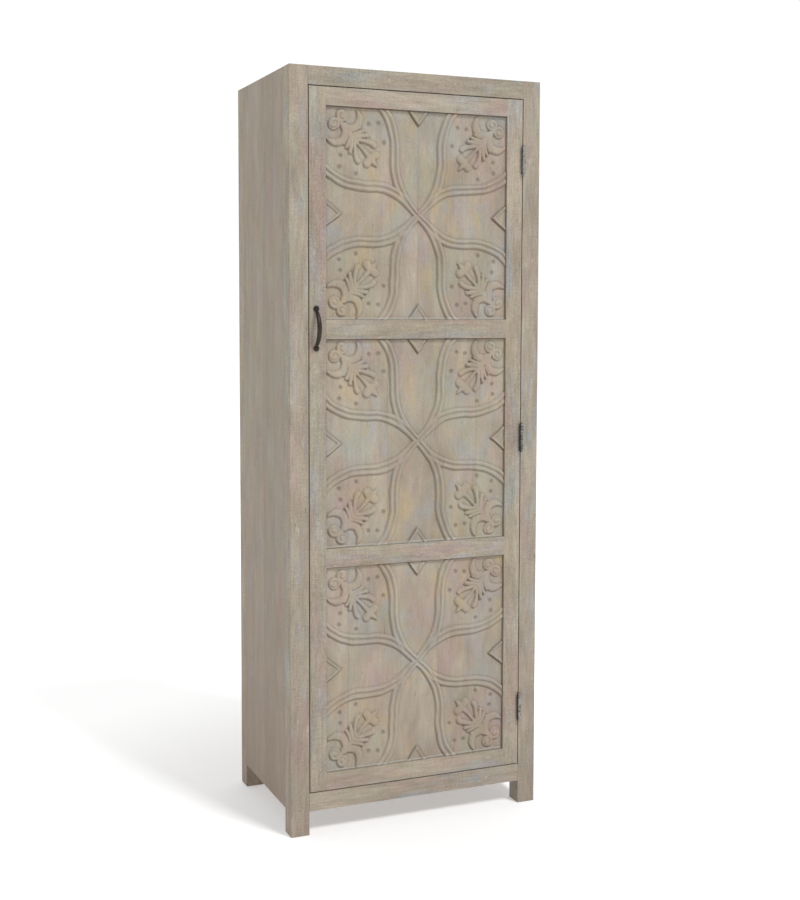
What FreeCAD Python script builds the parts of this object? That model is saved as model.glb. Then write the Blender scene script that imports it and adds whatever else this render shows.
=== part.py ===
"""Tall almirah: a posted wooden case with one framed door of three carved panels.

X runs to the right of a person who faces the door, Y from the door to the back
and Z up. The origin is on the floor, in the middle of the outline that the case
and the pull cover together. Sizes are in millimetres.
"""
import FreeCAD
import Part
import math
import os
import re

SIZES = {
    # Case
    "case_width": 711.2,
    "case_depth": 457.2,
    "case_height": 1981.2,
    "post_side": 50.0,
    "leg_clearance": 63.0,
    "case_rail_height": 48.0,
    "case_rail_thickness": 24.0,
    "case_tenon_length": 25.0,
    "case_tenon_thickness": 8.0,
    "case_tenon_shoulder": 9.0,
    "side_thickness": 18.0,
    "side_tongue_thickness": 8.0,
    "side_tongue_depth": 10.0,
    "back_thickness": 8.0,
    "back_inset": 8.0,
    "back_tongue_depth": 8.0,
    # Boards inside
    "board_thickness": 18.0,
    "top_thickness": 20.0,
    "shelf_setback": 4.0,
    "cleat_height": 18.0,
    "cleat_width": 18.0,
    # Door frame
    "door_thickness": 24.0,
    "door_gap": 2.5,
    "stile_width": 45.5,
    "end_rail_height": 46.0,
    "middle_rail_height": 50.0,
    "door_tenon_length": 30.0,
    "door_tenon_shoulder": 9.5,
    # Carved panels
    "panel_thickness": 16.0,
    "panel_setback": 3.0,
    "panel_play": 0.5,
    "panel_tongue_thickness": 8.0,
    "panel_tongue_depth": 8.0,
    "panel_groove_depth": 9.0,
    "relief_depth": 4.5,
    "bead_width": 12.6,
    "bead_groove_width": 2.4,
    "bead_groove_depth": 3.0,
    "side_triangle_height": 45.0,
    "side_triangle_base": 70.0,
    "end_triangle_height": 41.0,
    "end_triangle_base": 58.0,
    "triangle_band": 11.5,
    "sprig_length": 160.0,
    "sprig_inset": 34.7,
    # Butt hinges
    "hinge_length": 76.0,
    "hinge_end_distance": 122.0,
    "leaf_width": 20.0,
    "leaf_thickness": 2.0,
    "knuckle_radius": 5.2,
    "knuckle_gap": 0.4,
    "knuckle_standoff": 0.6,
    "pin_radius": 2.6,
    "pin_clearance": 0.05,
    "pin_cap_radius": 4.0,
    "pin_cap_height": 2.2,
    "hinge_screw_spacing": 26.0,
    "hinge_screw_stagger": 3.0,
    "hinge_screw_length": 20.0,
    "screw_head_radius": 3.6,
    "screw_shank_radius": 1.8,
    "screw_head_height": 1.6,
    "screw_clearance": 0.1,
    # Bow pull
    "pull_rise": 2.5,
    "pull_edge_distance": 18.5,
    "pull_centres": 101.0,
    "pull_reach": 31.0,
    "pull_foot_radius": 7.6,
    "pull_foot_thickness": 4.0,
    "pull_bar_width": 10.0,
    "pull_bar_thickness": 9.0,
    "pull_neck_width": 5.4,
    "pull_neck_thickness": 4.6,
    "pull_screw_length": 20.0,
    # Magnetic catch
    "catch_length": 46.0,
    "catch_width": 13.0,
    "catch_depth": 17.0,
    "catch_screw_spacing": 32.0,
    "catch_screw_length": 28.0,
    "strike_thickness": 1.2,
    "strike_gap": 0.3,
    "strike_length": 40.0,
    "strike_width": 14.0,
    "strike_screw_spacing": 26.0,
    "strike_screw_length": 14.0,
    # Cutting allowance
    "overrun": 2.0,
}

PANELS = 3
SHELVES = 4
HINGE_NAMES = ("bottom", "middle", "top")
KNUCKLES = 5
HINGE_SCREWS = 3
PULL_SECTIONS = 9
PULL_SIDES = 16
KNUCKLE_SIDES = 20
PIN_SIDES = 12
SCREW_SIDES = 8

# Carved pattern, as shares of the half width and half height of a panel
QUARTER_TURN = 90.0
CROSS_ANGLE = 44.5
SIDE_BAND_SHARES = {"waist": 0.263, "first": 0.485, "last": 0.600, "flare": 0.144}
END_BAND_SHARES = {"waist": 0.260, "first": 0.500, "last": 0.650, "flare": 0.128}

# Straight steps in each carved arc
BEND_STEPS = 4
FLARE_STEPS = 2
SCROLL_STEPS = 9

# Half of a sprig, from the notch between its scrolls to its tip, as shares of the
# sprig's length: an arc has a point that it runs through before its end
SPRIG_START_SHARE = -0.033
SPRIG_EDGE_SHARES = (
    ((-0.064, 0.148), (0.064, 0.148)),
    ((0.150, 0.075),),
    ((0.232, 0.180), (0.138, 0.338)),
    ((0.325, 0.255),),
    ((0.350, 0.138),),
    ((0.406, 0.216),),
    ((0.444, 0.131),),
    ((0.488, 0.219),),
    ((0.531, 0.125),),
    ((0.581, 0.219),),
    ((0.606, 0.081),),
    ((0.725, 0.213),),
    ((0.744, 0.038),),
    ((0.806, 0.150),),
    ((0.906, 0.156),),
    ((1.000, 0.0),),
)

# Planes and lines that several pieces share, as formulas in the sheet's words
FRONT = "(pull_reach - case_depth) / 2"
BACK = "(pull_reach + case_depth) / 2"
HALF = "case_width / 2"
POST_INNER = "case_width / 2 - post_side"
RAIL_BOTTOM = ("leg_clearance", "leg_clearance + case_rail_height")
RAIL_TOP = ("case_height - case_rail_height", "case_height")
DOOR_HALF = "case_width / 2 - post_side - door_gap"
OPENING_HALF = "case_width / 2 - post_side - door_gap - stile_width"
DOOR_LOW = "leg_clearance + case_rail_height + door_gap"
DOOR_HIGH = "case_height - case_rail_height - door_gap"
DOOR_HEIGHT = f"({DOOR_HIGH} - ({DOOR_LOW}))"
PANEL_HEIGHT = f"({DOOR_HEIGHT} - 2 * end_rail_height - {PANELS - 1} * middle_rail_height) / {PANELS}"
GROOVE_NEAR = "(door_thickness - panel_tongue_thickness) / 2"
GROOVE_FAR = "(door_thickness + panel_tongue_thickness) / 2"
FLOOR_TOP = "leg_clearance + case_rail_height"
CLEAR_HEIGHT = f"(case_height - top_thickness - ({FLOOR_TOP}) - {SHELVES} * board_thickness) / {SHELVES + 1}"
AXIS_X = "case_width / 2 - post_side - door_gap / 2"
AXIS_Y = f"{FRONT} - knuckle_radius - knuckle_standoff"
KNUCKLE_LENGTH = f"(hinge_length - {KNUCKLES - 1} * knuckle_gap) / {KNUCKLES}"
PIN_BORE = f"{1 / math.cos(math.pi / PIN_SIDES)} * (pin_radius + pin_clearance)"
CATCH_FRONT = f"{FRONT} + door_thickness + strike_thickness + strike_gap"
PULL_X = f"-({DOOR_HALF}) + pull_edge_distance"
PULL_HEIGHT = f"{DOOR_HIGH} - end_rail_height - {PANEL_HEIGHT} - middle_rail_height / 2 + pull_rise"

doc = FreeCAD.newDocument("almirah")
kept = []


def make_sheet():
    """Write every driving size to the spreadsheet under its own word."""
    sheet = doc.addObject("Spreadsheet::Sheet", "Sizes")
    for row, (word, size) in enumerate(SIZES.items(), start=1):
        sheet.set(f"A{row}", word)
        sheet.set(f"B{row}", str(size))
        sheet.setAlias(f"B{row}", word)
    doc.recompute()
    return sheet


def bound(formula):
    """Point every word of a formula at its cell."""
    return re.sub(r"[a-z]+(?:_[a-z]+)*", lambda word: "Sizes." + word.group(0), formula)


def size(word):
    """Read one driving size back from the sheet."""
    return float(doc.getObject("Sizes").get(word))


def place(piece, corner):
    """Bind the three coordinates of a piece's place to formulas."""
    for axis, formula in zip("xyz", corner):
        piece.setExpression(f"Placement.Base.{axis}", bound(formula))


def block(name, x, y, z):
    """Box between two formulas on each axis."""
    piece = doc.addObject("Part::Box", name)
    for side, (low, high) in zip(("Length", "Width", "Height"), (x, y, z)):
        piece.setExpression(side, bound(f"({high}) - ({low})"))
    place(piece, (x[0], y[0], z[0]))
    return piece


TURNS = {
    "x": FreeCAD.Rotation(FreeCAD.Vector(0, 1, 0), 90),
    "-x": FreeCAD.Rotation(FreeCAD.Vector(0, 1, 0), -90),
    "y": FreeCAD.Rotation(FreeCAD.Vector(1, 0, 0), -90),
    "-y": FreeCAD.Rotation(FreeCAD.Vector(1, 0, 0), 90),
    "z": FreeCAD.Rotation(),
    "-z": FreeCAD.Rotation(FreeCAD.Vector(1, 0, 0), 180),
}


def aimed(kind, name, way, start, **formulas):
    """Primitive that stands on a start point and faces along one axis."""
    piece = doc.addObject(kind, name)
    piece.Placement = FreeCAD.Placement(FreeCAD.Vector(), TURNS[way])
    for word, formula in formulas.items():
        piece.setExpression(word, bound(formula))
    place(piece, start)
    return piece


def rod(name, way, start, radius, length):
    """Cylinder."""
    return aimed("Part::Cylinder", name, way, start, Radius=radius, Height=length)


def stud(name, way, start, radius, length, sides=SCREW_SIDES):
    """Rod with few sides, for a screw, a hole or a knuckle."""
    piece = aimed("Part::Prism", name, way, start, Circumradius=radius, Height=length)
    piece.Polygon = sides
    return piece


def stud_taper(name, way, start, radius, end_radius, length, sides=SCREW_SIDES):
    """Frustum with few sides, for a head, its seat or a cap."""
    sign = "-" if way[0] == "-" else "+"
    end = [f"{base} {sign} ({length})" if axis == way[-1] else base for axis, base in zip("xyz", start)]
    rings = []
    for middle, reach in ((start, radius), (end, end_radius)):
        ring = aimed("Part::RegularPolygon", "ring", way, middle, Circumradius=reach)
        ring.Polygon = sides
        rings.append(ring)
    piece = doc.addObject("Part::Loft", name)
    piece.Sections = rings
    piece.Solid = True
    piece.Ruled = True
    piece.Linearize = True
    return piece


def fuse(name, pieces):
    """One piece from several that touch or overlap."""
    joined = doc.addObject("Part::MultiFuse", name)
    joined.Shapes = pieces
    joined.Refine = True
    return joined


def carve(name, blank, cutters):
    """A blank less every cutter."""
    cut = doc.addObject("Part::Cut", name)
    cut.Base = blank
    cut.Tool = cutters[0] if len(cutters) == 1 else fuse(f"{name}_cutters", cutters)
    cut.Refine = True
    return cut


def group(name, pieces):
    """Several loose pieces of one kind under one name."""
    together = doc.addObject("Part::Compound", name)
    together.Links = pieces
    return together


def keep(piece, label):
    """Name a finished piece and list it for writing."""
    piece.Label = label
    kept.append(piece)


def across(side, near, far):
    """Span between two distances from the middle plane, to one side of it."""
    if side == "left":
        return (f"-({far})", f"-({near})")
    return (near, far)


def inward(end, near, far):
    """Span between two depths measured from the front or the back plane."""
    if end == "front":
        return (f"{FRONT} + {near}", f"{FRONT} + {far}")
    return (f"{BACK} - ({far})", f"{BACK} - ({near})")


def case_post(side, end, extra_cutters):
    """Square corner post, grooved for the side and mortised for two rails."""
    width = across(side, POST_INNER, HALF)
    blank = block("post_blank", width, inward(end, "0", "post_side"), ("0", "case_height"))
    groove_y = inward(end, "post_side - side_tongue_depth", "post_side + overrun")
    groove_z = ("leg_clearance", "case_height + overrun")
    cutters = [block("side_groove", side_tongue_span(side), groove_y, groove_z)]
    mortise_x = across(side, f"{POST_INNER} - overrun", f"{POST_INNER} + case_tenon_length")
    for rail_span in (RAIL_BOTTOM, RAIL_TOP):
        cutters.append(block("mortise", mortise_x, case_tenon_depth(end), case_tenon_height(rail_span)))
    if end == "rear":
        panel_x = across(side, f"{POST_INNER} - overrun", f"{POST_INNER} + back_tongue_depth")
        cutters.append(block("back_groove", panel_x, back_span(), back_height()))
    keep(carve("post", blank, cutters + extra_cutters), f"post_{end}_{side}")


def side_tongue_span(side):
    """Where the tongue of a side lies across the case."""
    near = f"{HALF} - (side_thickness + side_tongue_thickness) / 2"
    far = f"{HALF} - (side_thickness - side_tongue_thickness) / 2"
    return across(side, near, far)


def case_tenon_depth(end):
    """Depth span of a rail's tenon, in the middle of the rail."""
    near = "(case_rail_thickness - case_tenon_thickness) / 2"
    far = "(case_rail_thickness + case_tenon_thickness) / 2"
    return inward(end, near, far)


def case_tenon_height(rail_span):
    """Height span of a tenon between its shoulders."""
    return (f"{rail_span[0]} + case_tenon_shoulder", f"{rail_span[1]} - case_tenon_shoulder")


def back_span():
    """Depth span of the back panel."""
    return inward("rear", "back_inset", "back_inset + back_thickness")


def back_height():
    """Height span of the back panel with its tongues."""
    return (f"{RAIL_BOTTOM[1]} - back_tongue_depth", f"{RAIL_TOP[0]} + back_tongue_depth")


def case_rail(end, level, rail_span):
    """Rail between two posts, with a tenon at each end."""
    span = (f"-({POST_INNER})", POST_INNER)
    blank = block("rail_blank", span, inward(end, "0", "case_rail_thickness"), rail_span)
    tenon_x = (f"-({POST_INNER} + case_tenon_length)", f"{POST_INNER} + case_tenon_length")
    tenon = block("rail_tenon", tenon_x, case_tenon_depth(end), case_tenon_height(rail_span))
    rail = fuse("rail", [blank, tenon])
    if end == "rear":
        rail = carve("grooved_rail", rail, [block("back_groove", span, back_span(), back_height())])
    keep(rail, f"{end}_{level}_rail")


def case_side(side):
    """Glued side of upright boards, tongued into two posts."""
    depth = (f"{FRONT} + post_side", f"{BACK} - post_side")
    height = ("leg_clearance", "case_height")
    panel = block("side_boards", across(side, f"{HALF} - side_thickness", HALF), depth, height)
    tongue_y = (f"{depth[0]} - side_tongue_depth", f"{depth[1]} + side_tongue_depth")
    tongue = block("side_tongue", side_tongue_span(side), tongue_y, height)
    keep(fuse("side", [panel, tongue]), f"side_panel_{side}")


def case_back():
    """Back panel, held in the rear posts and rails by its edges."""
    reach = f"{POST_INNER} + back_tongue_depth"
    keep(block("back", (f"-({reach})", reach), back_span(), back_height()), "back_panel")


def notched_board(label, depth, height):
    """Level board between the sides, notched round the four posts."""
    reach = f"{HALF} - side_thickness"
    blank = block("board_blank", (f"-({reach})", reach), depth, height)
    notch_z = (f"{height[0]} - overrun", f"{height[1]} + overrun")
    notches = []
    for side in ("left", "right"):
        for end in ("front", "rear"):
            notch_x = across(side, POST_INNER, HALF)
            notches.append(block("notch", notch_x, inward(end, "0", "post_side"), notch_z))
    keep(carve("board", blank, notches), label)


def cleats(label, board_low):
    """Pair of cleats that carry one board from the sides."""
    for side in ("left", "right"):
        width = across(side, f"{HALF} - side_thickness - cleat_width", f"{HALF} - side_thickness")
        depth = (f"{FRONT} + post_side", f"{BACK} - post_side")
        height = (f"{board_low} - cleat_height", board_low)
        keep(block("cleat", width, depth, height), f"{label}_cleat_{side}")


def case_boards():
    """Floor, shelves and top, each on its cleats."""
    between_rails = (f"{FRONT} + case_rail_thickness", f"{BACK} - case_rail_thickness")
    floor = (f"{FLOOR_TOP} - board_thickness", FLOOR_TOP)
    notched_board("floor_board", between_rails, floor)
    cleats("floor", floor[0])
    shelf_y = (f"{FRONT} + door_thickness + shelf_setback", f"{BACK} - back_inset - back_thickness")
    for count in range(1, SHELVES + 1):
        low = f"{FLOOR_TOP} + {count} * ({CLEAR_HEIGHT}) + {count - 1} * board_thickness"
        notched_board(f"shelf_{count}", shelf_y, (low, f"{low} + board_thickness"))
        cleats(f"shelf_{count}", low)
    top = ("case_height - top_thickness", "case_height")
    notched_board("top_board", between_rails, top)
    cleats("top", top[0])


def hinge_low(name):
    """Height of a hinge's lower end."""
    return {
        "bottom": f"{DOOR_LOW} + hinge_end_distance",
        "middle": f"({DOOR_LOW} + {DOOR_HIGH} - hinge_length) / 2",
        "top": f"{DOOR_HIGH} - hinge_end_distance - hinge_length",
    }[name]


def leaf_span(carrier):
    """Where a hinge leaf lies across the gap: let into the post or into the stile."""
    if carrier == "post":
        return (POST_INNER, f"{POST_INNER} + leaf_thickness")
    return (f"{DOOR_HALF} - leaf_thickness", DOOR_HALF)


def hinge_screw_places(name, carrier):
    """Where the screws of one leaf start, on the leaf's open face."""
    face = POST_INNER if carrier == "post" else DOOR_HALF
    for count in range(HINGE_SCREWS):
        stagger = "+" if count % 2 else "-"
        depth = f"{FRONT} + leaf_width / 2 {stagger} hinge_screw_stagger"
        step = f"{count - (HINGE_SCREWS - 1) / 2} * hinge_screw_spacing"
        yield (face, depth, f"{hinge_low(name)} + hinge_length / 2 + {step}")


def flat_screw(way, start, sunk, length):
    """Countersunk screw whose head is as deep as the plate that it holds."""
    head = stud_taper("screw_head", way, start, "screw_head_radius", "screw_shank_radius", sunk)
    shank = stud("screw_shank", way, start, "screw_shank_radius", length)
    return fuse("screw", [head, shank])


def flat_screw_seat(way, start, sunk):
    """Countersink for one flat screw."""
    mouth = "screw_head_radius + screw_clearance"
    return stud_taper("screw_seat", way, start, mouth, "screw_shank_radius + screw_clearance", sunk)


def pilot_hole(way, start, length):
    """Hole that a screw's shank fills."""
    radius = "screw_shank_radius + screw_clearance"
    return stud("pilot_hole", way, start, radius, f"{length} + screw_clearance")


def hinge_cuts(carrier):
    """Recesses and pilot holes that the hinges need in the post or in the stile."""
    cuts = []
    way = "x" if carrier == "post" else "-x"
    near, far = leaf_span(carrier)
    for name in HINGE_NAMES:
        low = hinge_low(name)
        width = (f"{near} - overrun", far) if carrier == "post" else (near, f"{far} + overrun")
        depth = (f"{FRONT} - overrun", f"{FRONT} + leaf_width")
        cuts.append(block("leaf_recess", width, depth, (low, f"{low} + hinge_length")))
        for start in hinge_screw_places(name, carrier):
            cuts.append(pilot_hole(way, start, "hinge_screw_length"))
    return cuts


def hinge_leaf(name, carrier):
    """Leaf of a butt hinge with every other knuckle of its barrel."""
    low = hinge_low(name)
    width = leaf_span(carrier)
    plate = block("leaf_plate", width, (FRONT, f"{FRONT} + leaf_width"), (low, f"{low} + hinge_length"))
    parts = [plate]
    first = 0 if carrier == "post" else 1
    for count in range(first, KNUCKLES, 2):
        start = f"{low} + {count} * ({KNUCKLE_LENGTH} + knuckle_gap)"
        height = (start, f"{start} + {KNUCKLE_LENGTH}")
        parts.append(block("knuckle_neck", width, (AXIS_Y, f"{FRONT} + leaf_thickness"), height))
        foot = (AXIS_X, AXIS_Y, start)
        parts.append(stud("knuckle", "z", foot, "knuckle_radius", KNUCKLE_LENGTH, KNUCKLE_SIDES))
    bore_start = (AXIS_X, AXIS_Y, f"{low} - overrun")
    cutters = [stud("pin_bore", "z", bore_start, PIN_BORE, "hinge_length + 2 * overrun", PIN_SIDES)]
    way = "x" if carrier == "post" else "-x"
    for start in hinge_screw_places(name, carrier):
        cutters.append(flat_screw_seat(way, start, "leaf_thickness"))
    body = "case" if carrier == "post" else "door"
    keep(carve("leaf", fuse("leaf_blank", parts), cutters), f"hinge_{name}_{body}_leaf")


def hinge_pin(name):
    """Pin of a butt hinge with a low cap at each end."""
    low = hinge_low(name)
    shaft = rod("pin_shaft", "z", (AXIS_X, AXIS_Y, low), "pin_radius", "hinge_length")
    radii = ("pin_cap_radius", "pin_radius")
    parts = [shaft]
    for way, height in (("-z", low), ("z", f"{low} + hinge_length")):
        start = (AXIS_X, AXIS_Y, height)
        parts.append(stud_taper("pin_cap", way, start, *radii, "pin_cap_height", PIN_SIDES))
    keep(fuse("pin", parts), f"hinge_{name}_pin")


def hinges():
    """Three butt hinges, with the screws of each side of them as one group."""
    for name in HINGE_NAMES:
        hinge_leaf(name, "post")
        hinge_leaf(name, "stile")
        hinge_pin(name)
    for carrier, way, label in (("post", "x", "case_hinge_screws"), ("stile", "-x", "door_hinge_screws")):
        screws = []
        for name in HINGE_NAMES:
            for start in hinge_screw_places(name, carrier):
                screws.append(flat_screw(way, start, "leaf_thickness", "hinge_screw_length"))
        keep(group("hinge_screws", screws), label)


def panel_low(count):
    """Lower edge of the opening of one carved panel, counted from the bottom."""
    return f"{DOOR_LOW} + end_rail_height + {count} * ({PANEL_HEIGHT} + middle_rail_height)"


def door_rails():
    """Name, height span and width of every rail of the door, from the bottom up."""
    names = ["bottom", "lower_middle", "upper_middle", "top"]
    spans = [(DOOR_LOW, f"{DOOR_LOW} + end_rail_height")]
    for count in range(1, PANELS):
        low = f"{panel_low(count)} - middle_rail_height"
        spans.append((low, panel_low(count)))
    spans.append((f"{DOOR_HIGH} - end_rail_height", DOOR_HIGH))
    return list(zip(names, spans))


def groove_span():
    """Depth span of the tongues, grooves and tenons of the door."""
    return (f"{FRONT} + {GROOVE_NEAR}", f"{FRONT} + {GROOVE_FAR}")


def door_tenon_height(rail_span):
    """Height span of a door tenon between its shoulders."""
    return (f"{rail_span[0]} + door_tenon_shoulder", f"{rail_span[1]} - door_tenon_shoulder")


def door_stile(side, extra_cutters):
    """Upright of the door, grooved for the panels and mortised for the rails."""
    depth = (FRONT, f"{FRONT} + door_thickness")
    blank = block("stile_blank", across(side, OPENING_HALF, DOOR_HALF), depth, (DOOR_LOW, DOOR_HIGH))
    groove_x = across(side, f"{OPENING_HALF} - overrun", f"{OPENING_HALF} + panel_groove_depth")
    groove_z = (
        f"{DOOR_LOW} + end_rail_height - panel_groove_depth",
        f"{DOOR_HIGH} - end_rail_height + panel_groove_depth",
    )
    cutters = [block("panel_groove", groove_x, groove_span(), groove_z)]
    mortise_x = across(side, f"{OPENING_HALF} - overrun", f"{OPENING_HALF} + door_tenon_length")
    for _, rail_span in door_rails():
        cutters.append(block("mortise", mortise_x, groove_span(), door_tenon_height(rail_span)))
    role = "pull" if side == "left" else "hinge"
    keep(carve("stile", blank, cutters + extra_cutters), f"door_{role}_stile")


def door_rail(label, rail_span):
    """Rail of the door with its tenons, grooved where a panel meets it."""
    width = (f"-({OPENING_HALF})", OPENING_HALF)
    blank = block("rail_blank", width, (FRONT, f"{FRONT} + door_thickness"), rail_span)
    reach = f"{OPENING_HALF} + door_tenon_length"
    tenon = block("rail_tenon", (f"-({reach})", reach), groove_span(), door_tenon_height(rail_span))
    grooves = []
    if label != "bottom":
        low = (f"{rail_span[0]} - overrun", f"{rail_span[0]} + panel_groove_depth")
        grooves.append(block("panel_groove", width, groove_span(), low))
    if label != "top":
        high = (f"{rail_span[1]} - panel_groove_depth", f"{rail_span[1]} + overrun")
        grooves.append(block("panel_groove", width, groove_span(), high))
    rail = carve("rail", fuse("rail_with_tenons", [blank, tenon]), grooves)
    keep(rail, f"door_{label}_rail")


def spot(along, over):
    """Point on the face of a panel, from the panel's middle."""
    return FreeCAD.Vector(along, 0, over)


def line(start, end):
    """Straight edge."""
    return Part.LineSegment(start, end).toShape()


def arc(start, through, end, steps):
    """Arc as short straight edges, so that its walls have few facets."""
    points = Part.Arc(start, through, end).toShape().discretize(steps + 1)
    points = [start] + points[1:-1] + [end]
    return [line(near, far) for near, far in zip(points, points[1:])]


def arc_about(centre, start, end, steps):
    """Arc round a centre, the short way."""
    half_way = (start - centre) + (end - centre)
    half_way.normalize()
    return arc(start, centre + half_way * (start - centre).Length, end, steps)


def mirrored(shapes, normal):
    """Shapes on the other side of a plane through the panel's middle."""
    return [shape.mirror(FreeCAD.Vector(), normal) for shape in shapes]


ACROSS = FreeCAD.Vector(1, 0, 0)
UPRIGHT = FreeCAD.Vector(0, 0, 1)


class Band:
    """Centre line of one carved band: straight from the crossing, then an arc to
    a level waist, then an arc that flares out to the edge of the panel. It runs
    along the first axis in its own frame."""

    def __init__(self, along_half, over_half, angle, shares):
        self.slope = math.radians(angle)
        self.first = shares["first"] * along_half
        self.last = shares["last"] * along_half
        self.waist = shares["waist"] * over_half
        self.end = along_half + size("overrun")
        rise = self.first * math.sin(self.slope) - self.waist * math.cos(self.slope)
        self.inner_radius = rise / (1 - math.cos(self.slope))
        run = along_half - self.last
        flare = shares["flare"] * over_half
        self.outer_radius = (run ** 2 + flare ** 2) / (2 * flare)
        self.inner_centre = spot(self.first, self.waist - self.inner_radius)
        self.outer_centre = spot(self.last, self.waist + self.outer_radius)
        self.normal = spot(-math.sin(self.slope), math.cos(self.slope))

    def arc_start(self, offset):
        """Where the straight stretch meets the first arc, beside the centre line."""
        return self.inner_centre + self.normal * (self.inner_radius + offset)

    def axis_start(self, offset):
        """Where the line beside the centre line leaves the band's own axis."""
        return spot(-offset / math.sin(self.slope), 0)

    def edge_end(self, offset):
        """Where the line beside the centre line leaves the panel."""
        radius = self.outer_radius - offset
        fall = math.sqrt(radius ** 2 - (self.end - self.last) ** 2)
        return spot(self.end, self.waist + self.outer_radius - fall)

    def beside(self, offset, start=None):
        """Edges of the line at an offset from the centre line, from a start point
        on its straight stretch, or on its first arc."""
        joint = self.arc_start(offset)
        level_start = spot(self.first, self.waist + offset)
        level_end = spot(self.last, self.waist + offset)
        if start is None:
            start = self.normal * offset
        edges = []
        if start.x < joint.x:
            edges.append(line(start, joint))
            start = joint
        edges += arc_about(self.inner_centre, start, level_start, BEND_STEPS)
        edges.append(line(level_start, level_end))
        return edges + arc_about(self.outer_centre, level_end, self.edge_end(offset), FLARE_STEPS)


def turned(shapes):
    """Shapes with the two axes of the panel swapped."""
    return mirrored(shapes, ACROSS - UPRIGHT)


def swapped(point):
    """Point with the two axes of the panel swapped."""
    return spot(point.z, point.x)


def prism(edges, depth):
    """Cutter below a closed outline, from just above the face down to a depth."""
    face = Part.Face(Part.Wire(Part.sortEdges(edges)[0]))
    face.translate(FreeCAD.Vector(0, -size("overrun"), 0))
    return face.extrude(FreeCAD.Vector(0, depth + size("overrun"), 0))


def triangle(band, half, height, base):
    """Lines of one leg of a triangle that stands on the edge of the panel."""
    tip = spot(half - height, 0)
    foot = spot(band.end, base / 2 * (band.end - half + height) / height)
    return tip, foot


def petal_cutters(band, half, height, base):
    """Cutters of one petal: its ground, and the ground inside its triangle."""
    depth = size("relief_depth")
    bead = size("bead_width")
    tip, foot = triangle(band, half, height, base)
    upper = band.beside(-bead, band.axis_start(-bead))
    upper += [line(band.edge_end(-bead), foot), line(foot, tip)]
    ground = prism(upper + mirrored(upper, UPRIGHT), depth)
    inset = size("triangle_band") / math.sin(math.atan2(base / 2, height))
    inner_tip, inner_foot = triangle(band, half, height - inset, base * (height - inset) / height)
    sides = [line(inner_foot, inner_tip)]
    sides += mirrored(sides, UPRIGHT) + [line(inner_foot, spot(inner_foot.x, -inner_foot.z))]
    return [ground, prism(sides, depth)]


def meeting(side_band, end_band, offset):
    """Where the corner sides of the two bands meet, in front of their fork."""
    first = side_band.inner_centre
    second = swapped(end_band.inner_centre)
    first_radius = side_band.inner_radius + offset
    second_radius = end_band.inner_radius + offset
    between = second - first
    gap = between.Length
    along = (gap ** 2 + first_radius ** 2 - second_radius ** 2) / (2 * gap)
    off = math.sqrt(first_radius ** 2 - along ** 2)
    between.normalize()
    level = first + between * along
    sideways = spot(-between.z, between.x) * off
    return max(level + sideways, level - sideways, key=lambda point: point.x + point.z)


def sprig_edges(half_width, half_height):
    """Outline of the sprig in one corner, from a half that is mirrored."""
    length = size("sprig_length")
    root = spot(half_width - size("sprig_inset"), half_height - size("sprig_inset"))
    axis = root * -1
    axis.normalize()
    sideways = spot(-axis.z, axis.x)
    edges = []
    for hand in (1, -1):
        here = root + axis * SPRIG_START_SHARE * length
        for shares in SPRIG_EDGE_SHARES:
            ends = [root + (axis * along + sideways * over * hand) * length for along, over in shares]
            edges += [line(here, ends[0])] if len(ends) == 1 else arc(here, *ends, SCROLL_STEPS)
            here = ends[-1]
    return edges


def corner_cutter(side_band, end_band, half_width, half_height):
    """Ground of one corner, round its sprig."""
    depth = size("relief_depth")
    bead = size("bead_width")
    fork = meeting(side_band, end_band, bead)
    edges = side_band.beside(bead, fork) + turned(end_band.beside(bead, swapped(fork)))
    side_end = side_band.edge_end(bead)
    top_end = swapped(end_band.edge_end(bead))
    corner = spot(side_end.x, top_end.z)
    edges += [line(side_end, corner), line(corner, top_end)]
    return prism(edges, depth).cut(prism(sprig_edges(half_width, half_height), depth))


def groove_cutter(band):
    """Groove between the two beads of one band."""
    half = size("bead_groove_width") / 2
    edges = band.beside(half) + band.beside(-half)
    edges.append(line(band.normal * half, band.normal * -half))
    edges.append(line(band.edge_end(half), band.edge_end(-half)))
    return prism(edges, size("bead_groove_depth"))


def relief(half_width, half_height):
    """Everything that is cut from the face of one carved panel."""
    side_band = Band(half_width, half_height, CROSS_ANGLE, SIDE_BAND_SHARES)
    end_band = Band(half_height, half_width, QUARTER_TURN - CROSS_ANGLE, END_BAND_SHARES)
    side = petal_cutters(side_band, half_width, size("side_triangle_height"), size("side_triangle_base"))
    end = petal_cutters(end_band, half_height, size("end_triangle_height"), size("end_triangle_base"))
    end = turned(end)
    cutters = side + mirrored(side, ACROSS) + end + mirrored(end, UPRIGHT)
    right = [corner_cutter(side_band, end_band, half_width, half_height)]
    right += mirrored(right, UPRIGHT)
    cutters += right + mirrored(right, ACROSS)
    grooves = [groove_cutter(side_band)] + turned([groove_cutter(end_band)])
    grooves += mirrored(grooves, UPRIGHT)
    grooves += mirrored(grooves, ACROSS)
    return Part.makeCompound(cutters + [grooves[0].multiFuse(grooves[1:])])


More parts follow.
